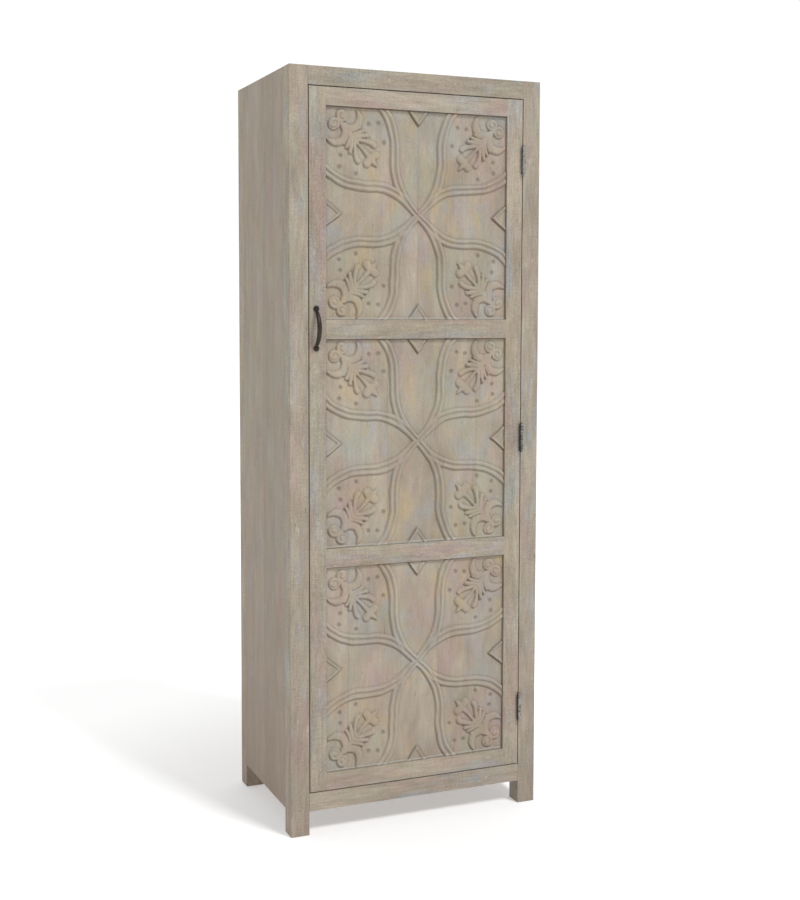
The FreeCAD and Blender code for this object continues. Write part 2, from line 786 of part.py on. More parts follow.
def carved_panels():
    """Three carved boards, tongued into the stiles and rails round them."""
    cuts = None
    for count, level in enumerate(("bottom", "middle", "top")):
        low = panel_low(count)
        high = f"{low} + {PANEL_HEIGHT}"
        reach = f"{OPENING_HALF} - panel_play"
        face = f"{FRONT} + panel_setback"
        field_z = (f"{low} + panel_play", f"{high} - panel_play")
        field = block("field", (f"-({reach})", reach), (face, f"{face} + panel_thickness"), field_z)
        reach = f"{OPENING_HALF} + panel_tongue_depth"
        tongue_z = (f"{low} - panel_tongue_depth", f"{high} + panel_tongue_depth")
        tongue = block("tongue", (f"-({reach})", reach), groove_span(), tongue_z)
        board = fuse("panel_board", [field, tongue])
        if cuts is None:
            doc.recompute()
            play = size("panel_play")
            cuts = relief(field.Length.Value / 2 + play, field.Height.Value / 2 + play)
        tool = doc.addObject("Part::Feature", "relief")
        tool.Shape = cuts
        place(tool, ("0", face, f"{low} + {PANEL_HEIGHT} / 2"))
        cut = doc.addObject("Part::Cut", "carved_board")
        cut.Base = board
        cut.Tool = tool
        keep(cut, f"carved_panel_{level}")


def pull_bar():
    """Bow of the pull: ovals along an arc from foot to foot, stoutest midway, each
    with enough sides to look round."""
    start = (size("pull_centres") - size("pull_neck_thickness")) / 2 - size("screw_head_radius")
    base = size("pull_foot_thickness") / 2
    bow = size("pull_reach") - size("pull_bar_thickness") / 2 - base
    radius = (start ** 2 + bow ** 2) / (2 * bow)
    sweep = math.asin(start / radius)
    rings = []
    for count in range(PULL_SECTIONS):
        turn = sweep * (2 * count / (PULL_SECTIONS - 1) - 1)
        swell = math.cos(turn / sweep * math.pi / 2)
        width = size("pull_neck_width") + (size("pull_bar_width") - size("pull_neck_width")) * swell
        depth = size("pull_neck_thickness")
        depth += (size("pull_bar_thickness") - size("pull_neck_thickness")) * swell
        centre = FreeCAD.Vector(0, radius - bow - base - radius * math.cos(turn), radius * math.sin(turn))
        outward = FreeCAD.Vector(0, -math.cos(turn), math.sin(turn))
        oval = Part.Ellipse(centre + ACROSS * (width / 2), centre + outward * (depth / 2), centre)
        rings.append(Part.makePolygon(oval.toShape().discretize(PULL_SIDES + 1)))
    return Part.makeLoft(rings, True, True)


def pull_foot_places():
    """Heights of the two feet of the pull."""
    return (f"{PULL_HEIGHT} - pull_centres / 2", f"{PULL_HEIGHT} + pull_centres / 2")


def pull():
    """Bow pull with two round feet, and its two screws."""
    bar = doc.addObject("Part::Feature", "pull_bar")
    bar.Shape = pull_bar()
    place(bar, (PULL_X, FRONT, PULL_HEIGHT))
    parts = [bar]
    holes = []
    screws = []
    for height in pull_foot_places():
        back = (PULL_X, FRONT, height)
        parts.append(rod("pull_foot", "-y", back, "pull_foot_radius", "pull_foot_thickness"))
        outside = (PULL_X, f"{FRONT} - pull_foot_thickness - overrun", height)
        radius = "screw_shank_radius + screw_clearance"
        holes.append(stud("screw_hole", "y", outside, radius, "pull_foot_thickness + 2 * overrun"))
        seat = (PULL_X, f"{FRONT} - pull_foot_thickness", height)
        screws.append(round_screw("-y", "y", seat, "pull_screw_length"))
    keep(carve("pull", fuse("pull_blank", parts), holes), "pull_handle")
    keep(group("pull_screws", screws), "pull_handle_screws")


def round_screw(head_way, way, seat, length):
    """Screw with a low domed head that stands on its seat."""
    radius = "screw_head_radius"
    head = stud_taper("screw_head", head_way, seat, radius, "screw_shank_radius", "screw_head_height")
    shank = stud("screw_shank", way, seat, "screw_shank_radius", length)
    return fuse("screw", [head, shank])


def catch_screw_places():
    """Where the screws of the catch start, on the catch's open face."""
    depth = f"{CATCH_FRONT} + catch_depth / 2"
    for sign in ("-", "+"):
        yield (f"-({POST_INNER} - catch_width)", depth, f"{PULL_HEIGHT} {sign} catch_screw_spacing / 2")


def strike_screw_places():
    """Where the screws of the strike plate start, on the plate's open face."""
    across_door = f"-({DOOR_HALF} - strike_width / 2)"
    depth = f"{FRONT} + door_thickness + strike_thickness"
    for sign in ("-", "+"):
        yield (across_door, depth, f"{PULL_HEIGHT} {sign} strike_screw_spacing / 2")


def catch():
    """Magnetic catch on the post behind the pull, and its plate on the stile."""
    width = across("left", f"{POST_INNER} - catch_width", POST_INNER)
    depth = (CATCH_FRONT, f"{CATCH_FRONT} + catch_depth")
    height = (f"{PULL_HEIGHT} - catch_length / 2", f"{PULL_HEIGHT} + catch_length / 2")
    blank = block("catch_blank", width, depth, height)
    holes = []
    screws = []
    for start in catch_screw_places():
        holes.append(pilot_hole("-x", start, "catch_width"))
        screws.append(round_screw("x", "-x", start, "catch_screw_length"))
    keep(carve("catch", blank, holes), "magnetic_catch")
    keep(group("catch_screws", screws), "catch_screws")
    width = across("left", f"{DOOR_HALF} - strike_width", DOOR_HALF)
    depth = (f"{FRONT} + door_thickness", f"{FRONT} + door_thickness + strike_thickness")
    height = (f"{PULL_HEIGHT} - strike_length / 2", f"{PULL_HEIGHT} + strike_length / 2")
    blank = block("strike_blank", width, depth, height)
    seats = []
    screws = []
    for start in strike_screw_places():
        seats.append(flat_screw_seat("-y", start, "strike_thickness"))
        screws.append(flat_screw("-y", start, "strike_thickness", "strike_screw_length"))
    keep(carve("strike", blank, seats), "catch_strike_plate")
    keep(group("strike_screws", screws), "strike_screws")


def case():
    """Posts, rails, sides, back and boards."""
    catch_holes = [pilot_hole("-x", start, "catch_screw_length") for start in catch_screw_places()]
    case_post("left", "front", catch_holes)
    case_post("right", "front", hinge_cuts("post"))
    case_post("left", "rear", [])
    case_post("right", "rear", [])
    for end in ("front", "rear"):
        case_rail(end, "bottom", RAIL_BOTTOM)
        case_rail(end, "top", RAIL_TOP)
    case_side("left")
    case_side("right")
    case_back()
    case_boards()


def door():
    """Framed door with its panels, pull and strike plate."""
    holes = []
    for height in pull_foot_places():
        start = (PULL_X, f"{FRONT} - pull_foot_thickness", height)
        holes.append(pilot_hole("y", start, "pull_screw_length"))
    holes += [pilot_hole("-y", start, "strike_screw_length") for start in strike_screw_places()]
    door_stile("left", holes)
    door_stile("right", hinge_cuts("stile"))
    for label, rail_span in door_rails():
        door_rail(label, rail_span)
    carved_panels()
    pull()


def check_document():
    """Stop if anything in the document failed or any piece is not sound."""
    for item in doc.Objects:
        broken = {"Invalid", "Error"} & set(item.State)
        assert not broken, f"{item.Label} failed: {item.State}"
    for piece in kept:
        assert not piece.Shape.isNull(), f"{piece.Label} is empty"
        assert piece.Shape.isValid(), f"{piece.Label} is not valid"
        assert piece.Shape.Solids, f"{piece.Label} has no solid"


def write_parts():
    """Write each finished piece to a file of its own name."""
    os.makedirs("parts", exist_ok=True)
    for piece in kept:
        piece.Shape.exportStep(os.path.join("parts", f"{piece.Label}.step"))


make_sheet()
case()
door()
hinges()
catch()
doc.recompute()
check_document()
write_parts()
print(f"{len(kept)} pieces written")
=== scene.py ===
"""Looks of the tall almirah: limed mango wood, hand carving and iron fittings.

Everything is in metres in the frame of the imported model. The carving is worked
out in millimetres from each panel's middle and scaled once, where its mesh is made.
"""

from math import asin, atan2, cos, pi, radians, sin, sqrt

import bpy
import bmesh
import numpy as np
from mathutils import Matrix, Vector


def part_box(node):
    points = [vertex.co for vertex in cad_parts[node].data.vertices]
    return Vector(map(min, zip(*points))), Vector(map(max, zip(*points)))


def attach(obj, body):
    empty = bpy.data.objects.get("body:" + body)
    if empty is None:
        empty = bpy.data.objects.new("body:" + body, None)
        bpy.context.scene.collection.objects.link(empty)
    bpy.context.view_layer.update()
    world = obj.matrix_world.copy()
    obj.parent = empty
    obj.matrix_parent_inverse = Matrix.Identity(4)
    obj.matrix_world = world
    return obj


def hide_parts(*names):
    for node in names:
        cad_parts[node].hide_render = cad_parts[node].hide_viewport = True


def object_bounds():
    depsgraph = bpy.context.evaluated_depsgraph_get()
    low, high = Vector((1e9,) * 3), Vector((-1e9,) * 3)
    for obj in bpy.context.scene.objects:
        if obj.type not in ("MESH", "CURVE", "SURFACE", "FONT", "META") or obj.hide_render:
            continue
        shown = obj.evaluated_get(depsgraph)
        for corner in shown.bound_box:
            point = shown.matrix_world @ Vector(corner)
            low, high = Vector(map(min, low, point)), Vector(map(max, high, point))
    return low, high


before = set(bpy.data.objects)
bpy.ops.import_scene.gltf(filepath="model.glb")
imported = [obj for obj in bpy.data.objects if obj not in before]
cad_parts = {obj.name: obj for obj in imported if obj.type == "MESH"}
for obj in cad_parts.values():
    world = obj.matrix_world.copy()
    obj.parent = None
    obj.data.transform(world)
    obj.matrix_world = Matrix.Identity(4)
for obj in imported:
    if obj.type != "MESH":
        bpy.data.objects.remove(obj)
cad_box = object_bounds()


def srgb(*values):
    """Linear colour from eight-bit red, green and blue, by the curve of the sRGB standard."""
    shares = [value / 255 for value in values]
    linear = [share / 12.92 if share < 0.04045 else ((share + 0.055) / 1.055) ** 2.4 for share in shares]
    return linear + [1.0]


MM = 0.001
SEED = 7
MATERIAL_SEED = SEED * 1000
WHITE = (1, 1, 1, 1)

# Camera, as fitted to the corners of the case in the photograph
IMAGE_WIDTH = 800
IMAGE_HEIGHT = 900
SENSOR = 36.0
FOCAL_PIXELS = 1340.31
MIDDLE_PIXEL = (395.99, 401.60)
CAMERA_PLACE = Vector((-1.41615, -3.44539, 1.37210))
CAMERA_YAW = 0.3962
CAMERA_PITCH = 0.0694
CAMERA_ROLL = 0.0022

# Sky: white behind the piece and near the horizon, and softer in front of it
SKY_BEHIND = 1.04
SKY_BEFORE = 0.18
SKY_TURN = (0.0, 0.6)
SKY_LOW = (0.12, 0.30)

# Soft lights: place, size and power
LIGHTS = {
    "key": (Vector((7.2, -15.5, 22.1)), 5.8, 5180.0),
    "fill": (Vector((-5.0, -0.9, 3.4)), 2.6, 18.0),
}

# Floor: it glows a little under the piece and more all round it
FLOOR_REACH = 40.0
FLOOR_WHITE = (0.75, 0.75, 0.75, 1)
FLOOR_ROUGHNESS = 0.9
FLOOR_GLOSS = 0.1
FLOOR_GLOW = (0.36, 0.60)
FLOOR_GLOW_REACH = (0.25, 1.3)

# Carved face, lengths in millimetres: grid, two beads of a band, and its narrow crossing
CELL = 1.5
RELIEF = 4.5
BEAD_WIDTH = 12.6
BEAD_OVERLAP = 0.25
BEAD_ROUNDNESS = 0.86
BEAD_GROOVE = 2.4
BEAD_GROOVE_DEPTH = 3.1
CROSSING_WIDTH = 0.76
CROSSING_REACH = 85.0

# Lines of the bands, by angle at the crossing and shares of a panel's half sizes
CROSS_ANGLE = 44.5
SIDE_BAND_SHARES = {"waist": 0.263, "first": 0.485, "last": 0.600, "flare": 0.144}
END_BAND_SHARES = {"waist": 0.260, "first": 0.500, "last": 0.650, "flare": 0.128}
BAND_OVERRUN = 12.0
BEND_POINTS = 14
FLARE_POINTS = 12

# Edge triangles, as height and half foot, and the cuts beside bands and triangles
SIDE_TRIANGLE = (45.0, 35.0)
END_TRIANGLE = (41.0, 29.0)
TRIANGLE_BAND = 9.5
TRIANGLE_SINK = 3.0
EDGE_CUT_WIDTH = 2.4
EDGE_CUT_DEPTH = 1.1

# Corners: dots, placed from the panel's middle, and the sunk outline of the sprig
DOTS = ((113, 233), (139, 230), (97, 184), (218, 146), (221, 117), (174, 101))
DOT_RADIUS = 7.2
DOT_DEPTH = 2.9
OUTLINE_WIDTH = 3.0
OUTLINE_DEPTH = 1.5

# Leaves of half a sprig, in millimetres from its root, which is set in from the
# panel's corner: points towards the panel's middle and across, half width at each,
# height over the ground and depth of the vein
SPRIG_INSET = 34.7
LEAVES = {
    "stem": (((-4, 0), (12, 0), (40, 0), (78, 0)), (4.5, 5.5, 9.0, 5.0), 3.7, 0.0),
    "hook": (
        ((20, 2), (31, 6), (40, 16), (44, 27), (42, 37), (36, 46), (28, 51.5), (20, 55), (15, 56)),
        (7.0, 8.0, 9.0, 9.5, 10.5, 9.0, 6.5, 4.0, 2.4), 4.4, 0.35,
    ),
    "first": (((40, 4), (48, 16), (54, 30)), (4.5, 4.5, 3.5), 3.5, 0.0),
    "second": (((50, 1.5), (59, 16), (65, 31)), (4.0, 5.2, 4.5), 3.8, 0.0),
    "third": (((60, 3), (71, 19), (80, 32)), (4.5, 6.0, 5.5), 4.1, 0.0),
    "fourth": (
        ((72, 6), (84, 17), (95, 24.5), (105, 29.5), (110.5, 30)), (4.0, 5.5, 6.3, 7.2, 7.4), 4.3, 0.3,
    ),
    "neck": (((76, 0), (98, 0), (120, 0)), (3.0, 4.6, 6.4), 3.8, 0.0),
    "lobe": (((129, 3), (130.5, 9), (131.5, 15.5)), (11.0, 11.0, 11.0), 4.3, 0.0),
    "tip": (((132, 0), (143, 0), (156, 0)), (10.0, 6.5, 2.2), 4.3, 0.0),
}
LEAF_STEPS = 16
LEAF_ROUNDNESS = 2.4
VEIN_WIDTH = 1.6

# Eyes between the leaves: place along and across the sprig, and radius
EYES = ((58.5, 32.0, 3.0), (72.5, 32.5, 3.2), (89.0, 34.0, 3.6))
EYE_DEPTH = 2.2

# Scroll: a round knob, and the angle and radius of its coiled groove at both ends
SCROLL_CENTRE = (-1.0, 14.5)
SCROLL_RADIUS = 16.2
SCROLL_SHOULDER = 5
SCROLL_START = (1.0, 12.2)
SCROLL_END = (7.2, 4.4)
SCROLL_FADE = 0.06
SCROLL_CUT = 1.9
SCROLL_CUT_DEPTH = 2.6

# Hand work: wander of the drawing and tool marks in millimetres, and waves and blurs in cells
HAND_WANDER = 0.7
HAND_WAVE = 24
TOOL_MARKS = {"ground": 0.10, "raised": 0.05}
TOOL_WAVE = 4
CARVED_BLUR = 0.45
GROUND_LEAST = 0.02
SPRIG_LEAST = 0.3

# Painted shade, painted highlight and lime on the carving, with dark wax in its dots: the way towards the
# light, from which edges that face away take painted shade, and how much is where
PAINTED_SHADE_WAY = (0.5, 0.87)
PAINTED_SHADE_SLOPE = 1.2
# Painted shade in hollows, on edges facing away from the light, in the dots with dark wax and along the
# triangles, and painted shadow along the frame at the side and the top
SHADE_AND_WAX_SHARES = {
    "hollow_shade": 0.36, "facing": 0.92, "dots": 0.52, "side": 0.40, "top": 1.55, "triangles": 0.85,
}
FRAME_SHADOW_REACH = 4.0
SHADE_AND_WAX_STRENGTH = 0.62
# Painted shade along each triangle's outline: where it lies inside it, and its reach
TRIANGLE_LINE = (0.8, 3.2)
# Painted highlight on edges that face the light and along the bottom ledge, and lime on crests
LIME_AND_HIGHLIGHT_SHARES = {"lit": 0.33, "crest": 0.07, "ledge_highlight": 1.0}
LEDGE_HIGHLIGHT_REACH = 6.5
LIME_AND_HIGHLIGHT_STRENGTH = 0.82
HOLLOW_BLUR = 2.4
HOLLOW_DEPTH = 2.6
CREST_HEIGHT = 1.3
FACING_BLUR = 0.7
WORN_BLUR = 1.5

# Panels: tongue, its depths behind the stile's face, play, and the joint of their two boards
TONGUE = 8 * MM
TONGUE_DEPTHS = (8 * MM, 16 * MM)
PLAY = 0.02 * MM
PANEL_JOINTS = {"bottom": 0.062, "middle": -0.085, "top": 0.0}

# Noises: cells to the metre on each axis, detail, roughness, distortion and shift
NOISES = {
    "broad_plain": ((15, 15, 4.2), 4.0, 0.55, 0.6),
    "broad_carved": ((12, 12, 5.5), 4.0, 0.55, 0.6),
    "middling": ((48, 48, 13), 3.0, 0.55),
    "streaks": ((150, 150, 13), 4.0, 0.68),
    "sawing": ((34, 34, 330), 2.0, 0.6),
    "sawn": ((9, 9, 5), 2.0, 0.5, 0.0, (3, 3, 1)),
    "mottle": ((290, 290, 210), 2.0, 0.7),
    "pores": ((900, 900, 60), 1.0, 0.5),
    "nicks": ((95, 95, 20), 2.0, 0.5, 0.0, (5, 2, 7)),
    "residue": ((70, 70, 26), 3.0, 0.6, 0.0, (2, 9, 4)),
    "rubbing": ((5, 5, 5), 2.0, 0.5),
    "iron_wear": ((90, 90, 40), 4.0, 0.6),
    "iron_dust": ((520, 520, 520), 3.0, 0.6),
    "iron_dents": ((210, 210, 210), 2.0, 0.5),
    "tarnish": ((150, 150, 150), 4.0, 0.65),
    "rust": ((95, 95, 95), 4.0, 0.6),
    # Wander of the edge of the painted shadow on the hinges
    "painted_shadow": ((120, 120, 120), 3.0, 0.6),
    "scratches": ((900, 900, 60), 2.0, 0.5),
    "plastic": ((380, 380, 380), 3.0, 0.6),
}
WOOD_SHIFT = 4
CLOUD_SHIFT = 9
METAL_SHIFT = 3

# Tones of wood and of what is left on it, with those that paint shade and highlight on the carving, then of
# metal and plastic, with a painted shadow on the hinges
TONES = {
    "pale": srgb(157, 147, 132),
    "dark": srgb(146, 135, 120),
    "pink": srgb(155, 134, 127),
    "grey": srgb(145, 145, 143),
    "green": srgb(148, 149, 131),
    "ochre": srgb(161, 144, 114),
    "worn": srgb(160, 140, 112),
    "low": srgb(148, 129, 115),
    # The wax tone is dark wax in pores and nicks, and also the painted shade and shadow on the carving
    "wax_and_shade": srgb(92, 78, 63),
    # The lime tone is lime in specks and on crests, and also the painted highlight on the carving
    "lime_and_highlight": srgb(182, 178, 168),
    "pull": srgb(38, 32, 28),
    "pull_screw": srgb(19, 16, 14),
    "rubbed": srgb(64, 48, 37),
    "dust": srgb(86, 76, 67),
    "steel": srgb(147, 147, 143),
    "tarnish": srgb(94, 89, 84),
    "rust": srgb(116, 86, 66),
    # Tone of the painted shadow down the left of the hinges
    "painted_shadow": srgb(40, 35, 31),
    "plastic_dark": srgb(66, 50, 38),
    "plastic_light": srgb(82, 63, 49),
}

# Limed wood: where its pale tone begins and is full, and the scale and start of its clouds
PALE_STEP = (0.34, 0.66)
CLOUDS = {"pink": (7.5, 0.49), "grey": (8.5, 0.50), "green": (6.0, 0.50), "ochre": (9.5, 0.52)}
CLOUD_FADE = 0.17
CLOUD_NOISE = (4.0, 0.6, 0.4)
CLOUD_SHARES = {"carved": (1.5, 0.9), "plain": (2.4, 0.6)}

# How strong each tint is, with the darker, warm tint near the floor and its reach
TINTS = {
    "case": {"pink": 0.65, "grey": 1.00, "green": 0.60, "ochre": 0.10, "low": 0.10},
    "door": {"pink": 1.00, "grey": 0.80, "green": 0.40, "ochre": 0.35, "low": 0.10},
    "side": {"pink": 0.85, "grey": 0.50, "green": 0.35, "ochre": 0.50, "low": 0.60},
    "carved": {"pink": 0.72, "grey": 0.75, "green": 0.55, "ochre": 0.70, "low": 0.10},
}
LOW_TINT = (0.80, 0.10)

# How much each layer sways the tone of wood of roughness 1, and how rough each wood is
SWAYS = {
    "plain": {"broad": 0.20, "middling": 0.20, "streaks": 0.36, "sawing": 0.22, "mottle": 0.38},
    "carved": {"broad": 0.36, "middling": 0.30, "streaks": 0.36, "mottle": 0.38},
}
ROUGH = {"frame": 2.0, "carved": 1.0, "sawn": 1.0}
SAWN_PATCHES = ((0.44, 0.2), (0.6, 1.0))

# Glued boards: how they differ, and the reach and strength of the dark joint between them
BOARDS_APART = 7.0
BOARD_SWAYS = {"plain": 0.09, "carved": -0.09}
JOINT_LINE = (0.0016, 0.0004)
JOINT_SHADE = 0.16

# Marks on wood: tone, where on their noise they begin and are full, and strength
MARKS = {
    "pores": ("wax_and_shade", 0.62, 0.72, 0.20),
    "nicks": ("wax_and_shade", 0.72, 0.76, 0.30),
    "residue": ("lime_and_highlight", 0.64, 0.74, 0.24),
}
RUBBED_PATCHES = ((0.40, 0.1), (0.60, 0.24))

# Surface of wood: what its layers and marks add to its height, and its look as a whole
HEIGHTS = {"streaks": 0.6, "pores": -0.3, "nicks": -0.6, "mottle": 0.5}
WOOD_BUMP = (0.35, 0.0008)
WOOD_ROUGHNESS = ((0.3, 0.68), (0.7, 0.80))
WOOD_GLOSS = 0.30

# Wooden nodes by the words in their names: way of the grain, glued boards and shade
GRAIN_TURNS = {"X": (0, -pi / 2, 0), "Y": (pi / 2, 0, 0), "Z": (0, 0, 0)}
GRAINS = {
    "post": "Z", "stile": "Z", "side": "Z", "back": "Z",
    "rail": "X", "board": "X", "shelf": "X", "cleat": "Y",
}
BOARDS = {"side": ("Y", 4), "back": ("X", 5), "board": ("Y", 4), "shelf": ("Y", 4)}
CARVED_SHADES = {"bottom": 1.045, "middle": 1.02, "top": 0.995}
NODE_SHADES = {
    "post_front_left": 0.975, "post_front_right": 0.98, "side_panel_left": 0.925,
    "front_top_rail": 0.91, "front_bottom_rail": 1.02, "door_pull_stile": 0.955,
    "door_upper_middle_rail": 0.955, "door_lower_middle_rail": 0.98, "door_bottom_rail": 1.05,
}

# Softened edges of the CAD nodes, and of what is built here
BEVELS = {"case": 0.0011, "door": 0.0005, "catch": 0.0008}
BEVEL_ANGLE = radians(40)
WELD_REACH = 0.00001
FLAT_ANGLE = radians(0.5)
BOX_PROFILE = 0.6
SHARP_ANGLE = radians(38)

# Iron, steel and plastic: steps on their noises, strengths and roughness
IRON_WEAR = (0.50, 0.68)
IRON_DUST = (0.55, 0.72)
IRON_DUST_SHARE = 0.20
IRON_ROUGHNESS = ((0.0, 0.46), (1.0, 0.58))
IRON_BUMP = (0.45, 0.0008)
IRON_GLOSS = 0.28
TARNISH = (0.62, 0.74)
TARNISH_SPREAD = 0.3
RUST = (0.66, 0.78)
RUST_SPREAD = 0.25
RUST_SHARE = 0.7
# Painted shadow down the left of the hinges' knuckles, beside the door's gap: its reach in from the top
# pin's middle, wander, fade and strength
HINGE_SHADOW_REACH = 0.0035
HINGE_SHADOW_WANDER = 0.0024
HINGE_SHADOW_FADE = 0.0012
HINGE_SHADOW_SHARE = 0.9
STEEL_ROUGHNESS = ((0.0, 0.42), (1.0, 0.72))
STEEL_BUMP = (0.25, 0.0003)
STEEL_METAL = 0.5
PLASTIC_ROUGHNESS = ((0.3, 0.42), (0.7, 0.52))
PLASTIC_BUMP = (0.2, 0.0002)

# Seeds of the materials, of which wooden nodes take their own number
SEEDS = {"carved": 70, "hinge_screws": 84, "catch": 85, "pull": 91, "pull_screws": 92}

# Screws, with the outline of their heads as shares of radius and rise
SCREW_HEAD = 0.0036
SCREW_SHANK = 0.0018
SCREW_SLOT = 0.00045
HEAD_DISC = ((0.98, 0.0), (0.94, 0.35), (0.80, 0.45))
HEAD_DOME = ((1.0, 0.0), (0.97, 0.35), (0.86, 0.72), (0.66, 0.93), (0.40, 1.0))
HEAD_STEPS = 12
SHANK_SIDES = 16

# Pull: its two feet, and a bar whose width and depth grow from neck to middle
PULL_CENTRES = 0.101
PULL_FOOT = (
    (0.0076, 0.0), (0.0076, 0.0022), (0.0073, 0.0030), (0.0066, 0.0036), (0.0054, 0.0040), (0.0010, 0.0040),
)
PULL_FOOT_SIDES = 48
PULL_BAR_START = 0.0446
PULL_BAR_RISE = 0.002
PULL_BAR_MIDDLE = (0.0116, 0.0096)
PULL_BAR_NECK = (0.0080, 0.0056)
PULL_BAR_SWELL = 0.8
PULL_BAR_SQUARE = 2.6
PULL_BAR_SIDES = 28
PULL_SECTIONS = 41
PULL_SCREW_RISE = 0.0016
PULL_SCREW_LENGTH = 0.020
PULL_SLOT_TURNS = {1: 0.9, -1: 0.1}

# Hinges: leaves, knuckles, pins and screws
LEAF_THICKNESS = 0.002
LEAF_EDGE = 0.0004
KNUCKLES = 5
KNUCKLE_GAP = 0.0004
KNUCKLE_BORE = 0.00265
KNUCKLE_EDGE = 0.0005
NECK_DEPTH = 0.002
NECK_EDGE = 0.0003
PIN_RADIUS = 0.0026
PIN_CAP = ((0.0040, 0.0), (0.0040, 0.0007), (0.0036, 0.0013), (0.0026, 0.0018), (0.0012, 0.0022))
HINGE_SCREW_STEP = 0.026
HINGE_SCREW_STAGGER = 0.003
HINGE_SCREW_LENGTH = 0.013
HINGE_SCREW_SINK = 0.0012
HINGE_SCREW_RISE = 0.0014
HINGE_SLOT_TURNS = {-1: -0.5, 0: 0.4, 1: 1.3}

# Steel of each hinge: seed, tarnish, rust, and how far its painted shadow reaches further
HINGE_STEELS = {
    "top": (81, 0.25, 0.05, -0.0002),
    "middle": (82, 0.70, 0.20, 0.0007),
    "bottom": (83, 0.40, 0.50, 0.0002),
}
SCREW_STEEL = (0.4, 0.3)
CATCH_STEEL = (0.2, 0.1)


def add(name, data):
    """Put a new object of some data in the scene."""
    obj = bpy.data.objects.new(name, data)
    bpy.context.scene.collection.objects.link(obj)
    return obj


def make_camera():
    """Camera at the photograph's place, turn and framing."""
    lens = bpy.data.cameras.new("camera")
    lens.sensor_width = SENSOR
    lens.lens = FOCAL_PIXELS / IMAGE_HEIGHT * SENSOR
    lens.shift_x = (IMAGE_WIDTH / 2 - MIDDLE_PIXEL[0]) / IMAGE_HEIGHT
    lens.shift_y = (MIDDLE_PIXEL[1] - IMAGE_HEIGHT / 2) / IMAGE_HEIGHT
    camera = add("camera", lens)
    level = Vector((cos(CAMERA_YAW), -sin(CAMERA_YAW), 0))
    ahead = Vector((
        sin(CAMERA_YAW) * cos(CAMERA_PITCH),
        cos(CAMERA_YAW) * cos(CAMERA_PITCH),
        -sin(CAMERA_PITCH),
    ))
    upright = level.cross(ahead)
    right = level * cos(CAMERA_ROLL) + upright * sin(CAMERA_ROLL)
    up = upright * cos(CAMERA_ROLL) - level * sin(CAMERA_ROLL)
    turn = Matrix((right, up, -ahead)).transposed()
    camera.matrix_world = Matrix.Translation(CAMERA_PLACE) @ turn.to_4x4()
    bpy.context.scene.camera = camera


class Nodes:
    """Node tree in the making. Its methods that add nodes give the last one's output."""

    def __init__(self, tree):
        self.tree = tree

    def feed(self, socket, value):
        """Link a socket to another node's output, or set it to a plain value."""
        if isinstance(value, bpy.types.NodeSocket):
            self.tree.links.new(value, socket)
        else:
            socket.default_value = value

    def put(self, kind, sockets, out=0, **settings):
        made = self.tree.nodes.new("ShaderNode" + kind)
        for name, value in settings.items():
            setattr(made, name, value)
        for name, value in sockets.items():
            self.feed(made.inputs[name], value)
        return made.outputs[out]

    def axis(self, vector, name):
        return self.put("SeparateXYZ", {"Vector": vector}, out=name)

    def maths(self, operation, first, second=0.0):
        return self.put("Math", {0: first, 1: second}, operation=operation)

    def fade(self, value, reach, ends, kind="LINEAR"):
        sockets = dict(enumerate((value, *reach, *ends)))
        return self.put("MapRange", sockets, interpolation_type=kind)


class Paint(Nodes):
    """Node material in the making."""

    def __init__(self, name):
        self.material = bpy.data.materials.new(name)
        self.material.use_nodes = True
        super().__init__(self.material.node_tree)
        self.shader = self.tree.nodes["Principled BSDF"]

    def place(self, turn=(0, 0, 0), shift=(0, 0, 0)):
        coordinates = self.put("TexCoord", {}, out="Object")
        return self.put("Mapping", {"Vector": coordinates, "Location": shift, "Rotation": turn})

    def noise(self, at, cells, detail, roughness, distortion=0.0, shift=(0, 0, 0)):
        at = self.put("Mapping", {"Vector": at, "Scale": cells, "Location": shift})
        sockets = {"Detail": detail, "Roughness": roughness, "Distortion": distortion}
        return self.put("TexNoise", {"Vector": at, "Scale": 1.0, **sockets})

    def pattern(self, at, name):
        return self.noise(at, *NOISES[name])

    def ramp(self, value, stops):
        made = self.put("ValToRGB", {"Fac": value})
        for end, (place, level) in zip(made.node.color_ramp.elements, stops):
            end.position = place
            end.color = (level, level, level, 1)
        return made

    def step(self, value, start, full):
        return self.ramp(value, ((start, 0.0), (full, 1.0)))

    def mix(self, share, low, high, blend="MIX"):
        sockets = {0: share, 6: low, 7: high}
        return self.put("Mix", sockets, out=2, data_type="RGBA", blend_type=blend)

    def lay(self, colour, tone, mask, share):
        """Colour with a tone laid over it by a share of a mask."""
        return self.mix(self.maths("MULTIPLY", mask, share), colour, TONES[tone])

    def set(self, **sockets):
        for name, value in sockets.items():
            self.feed(self.shader.inputs[name.replace("_", " ")], value)

    def finish(self, colour, roughness, height, bump, **sockets):
        """Material of a colour and roughness, with a height as bump of a strength and reach."""
        normal = self.put("Bump", {"Height": height, "Strength": bump[0], "Distance": bump[1]})
        self.set(Base_Color=colour, Roughness=roughness, Normal=normal, **sockets)
        return self.material


def area_light(name, place, size, power):
    """Soft square light that faces the middle of the piece."""
    light = bpy.data.lights.new(name, "AREA")
    light.shape = "SQUARE"
    light.size = size
    light.energy = power
    lamp = add(name, light)
    middle = (cad_box[0] + cad_box[1]) / 2
    lamp.location = place
    lamp.rotation_euler = (middle - place).to_track_quat("-Z", "Y").to_euler()


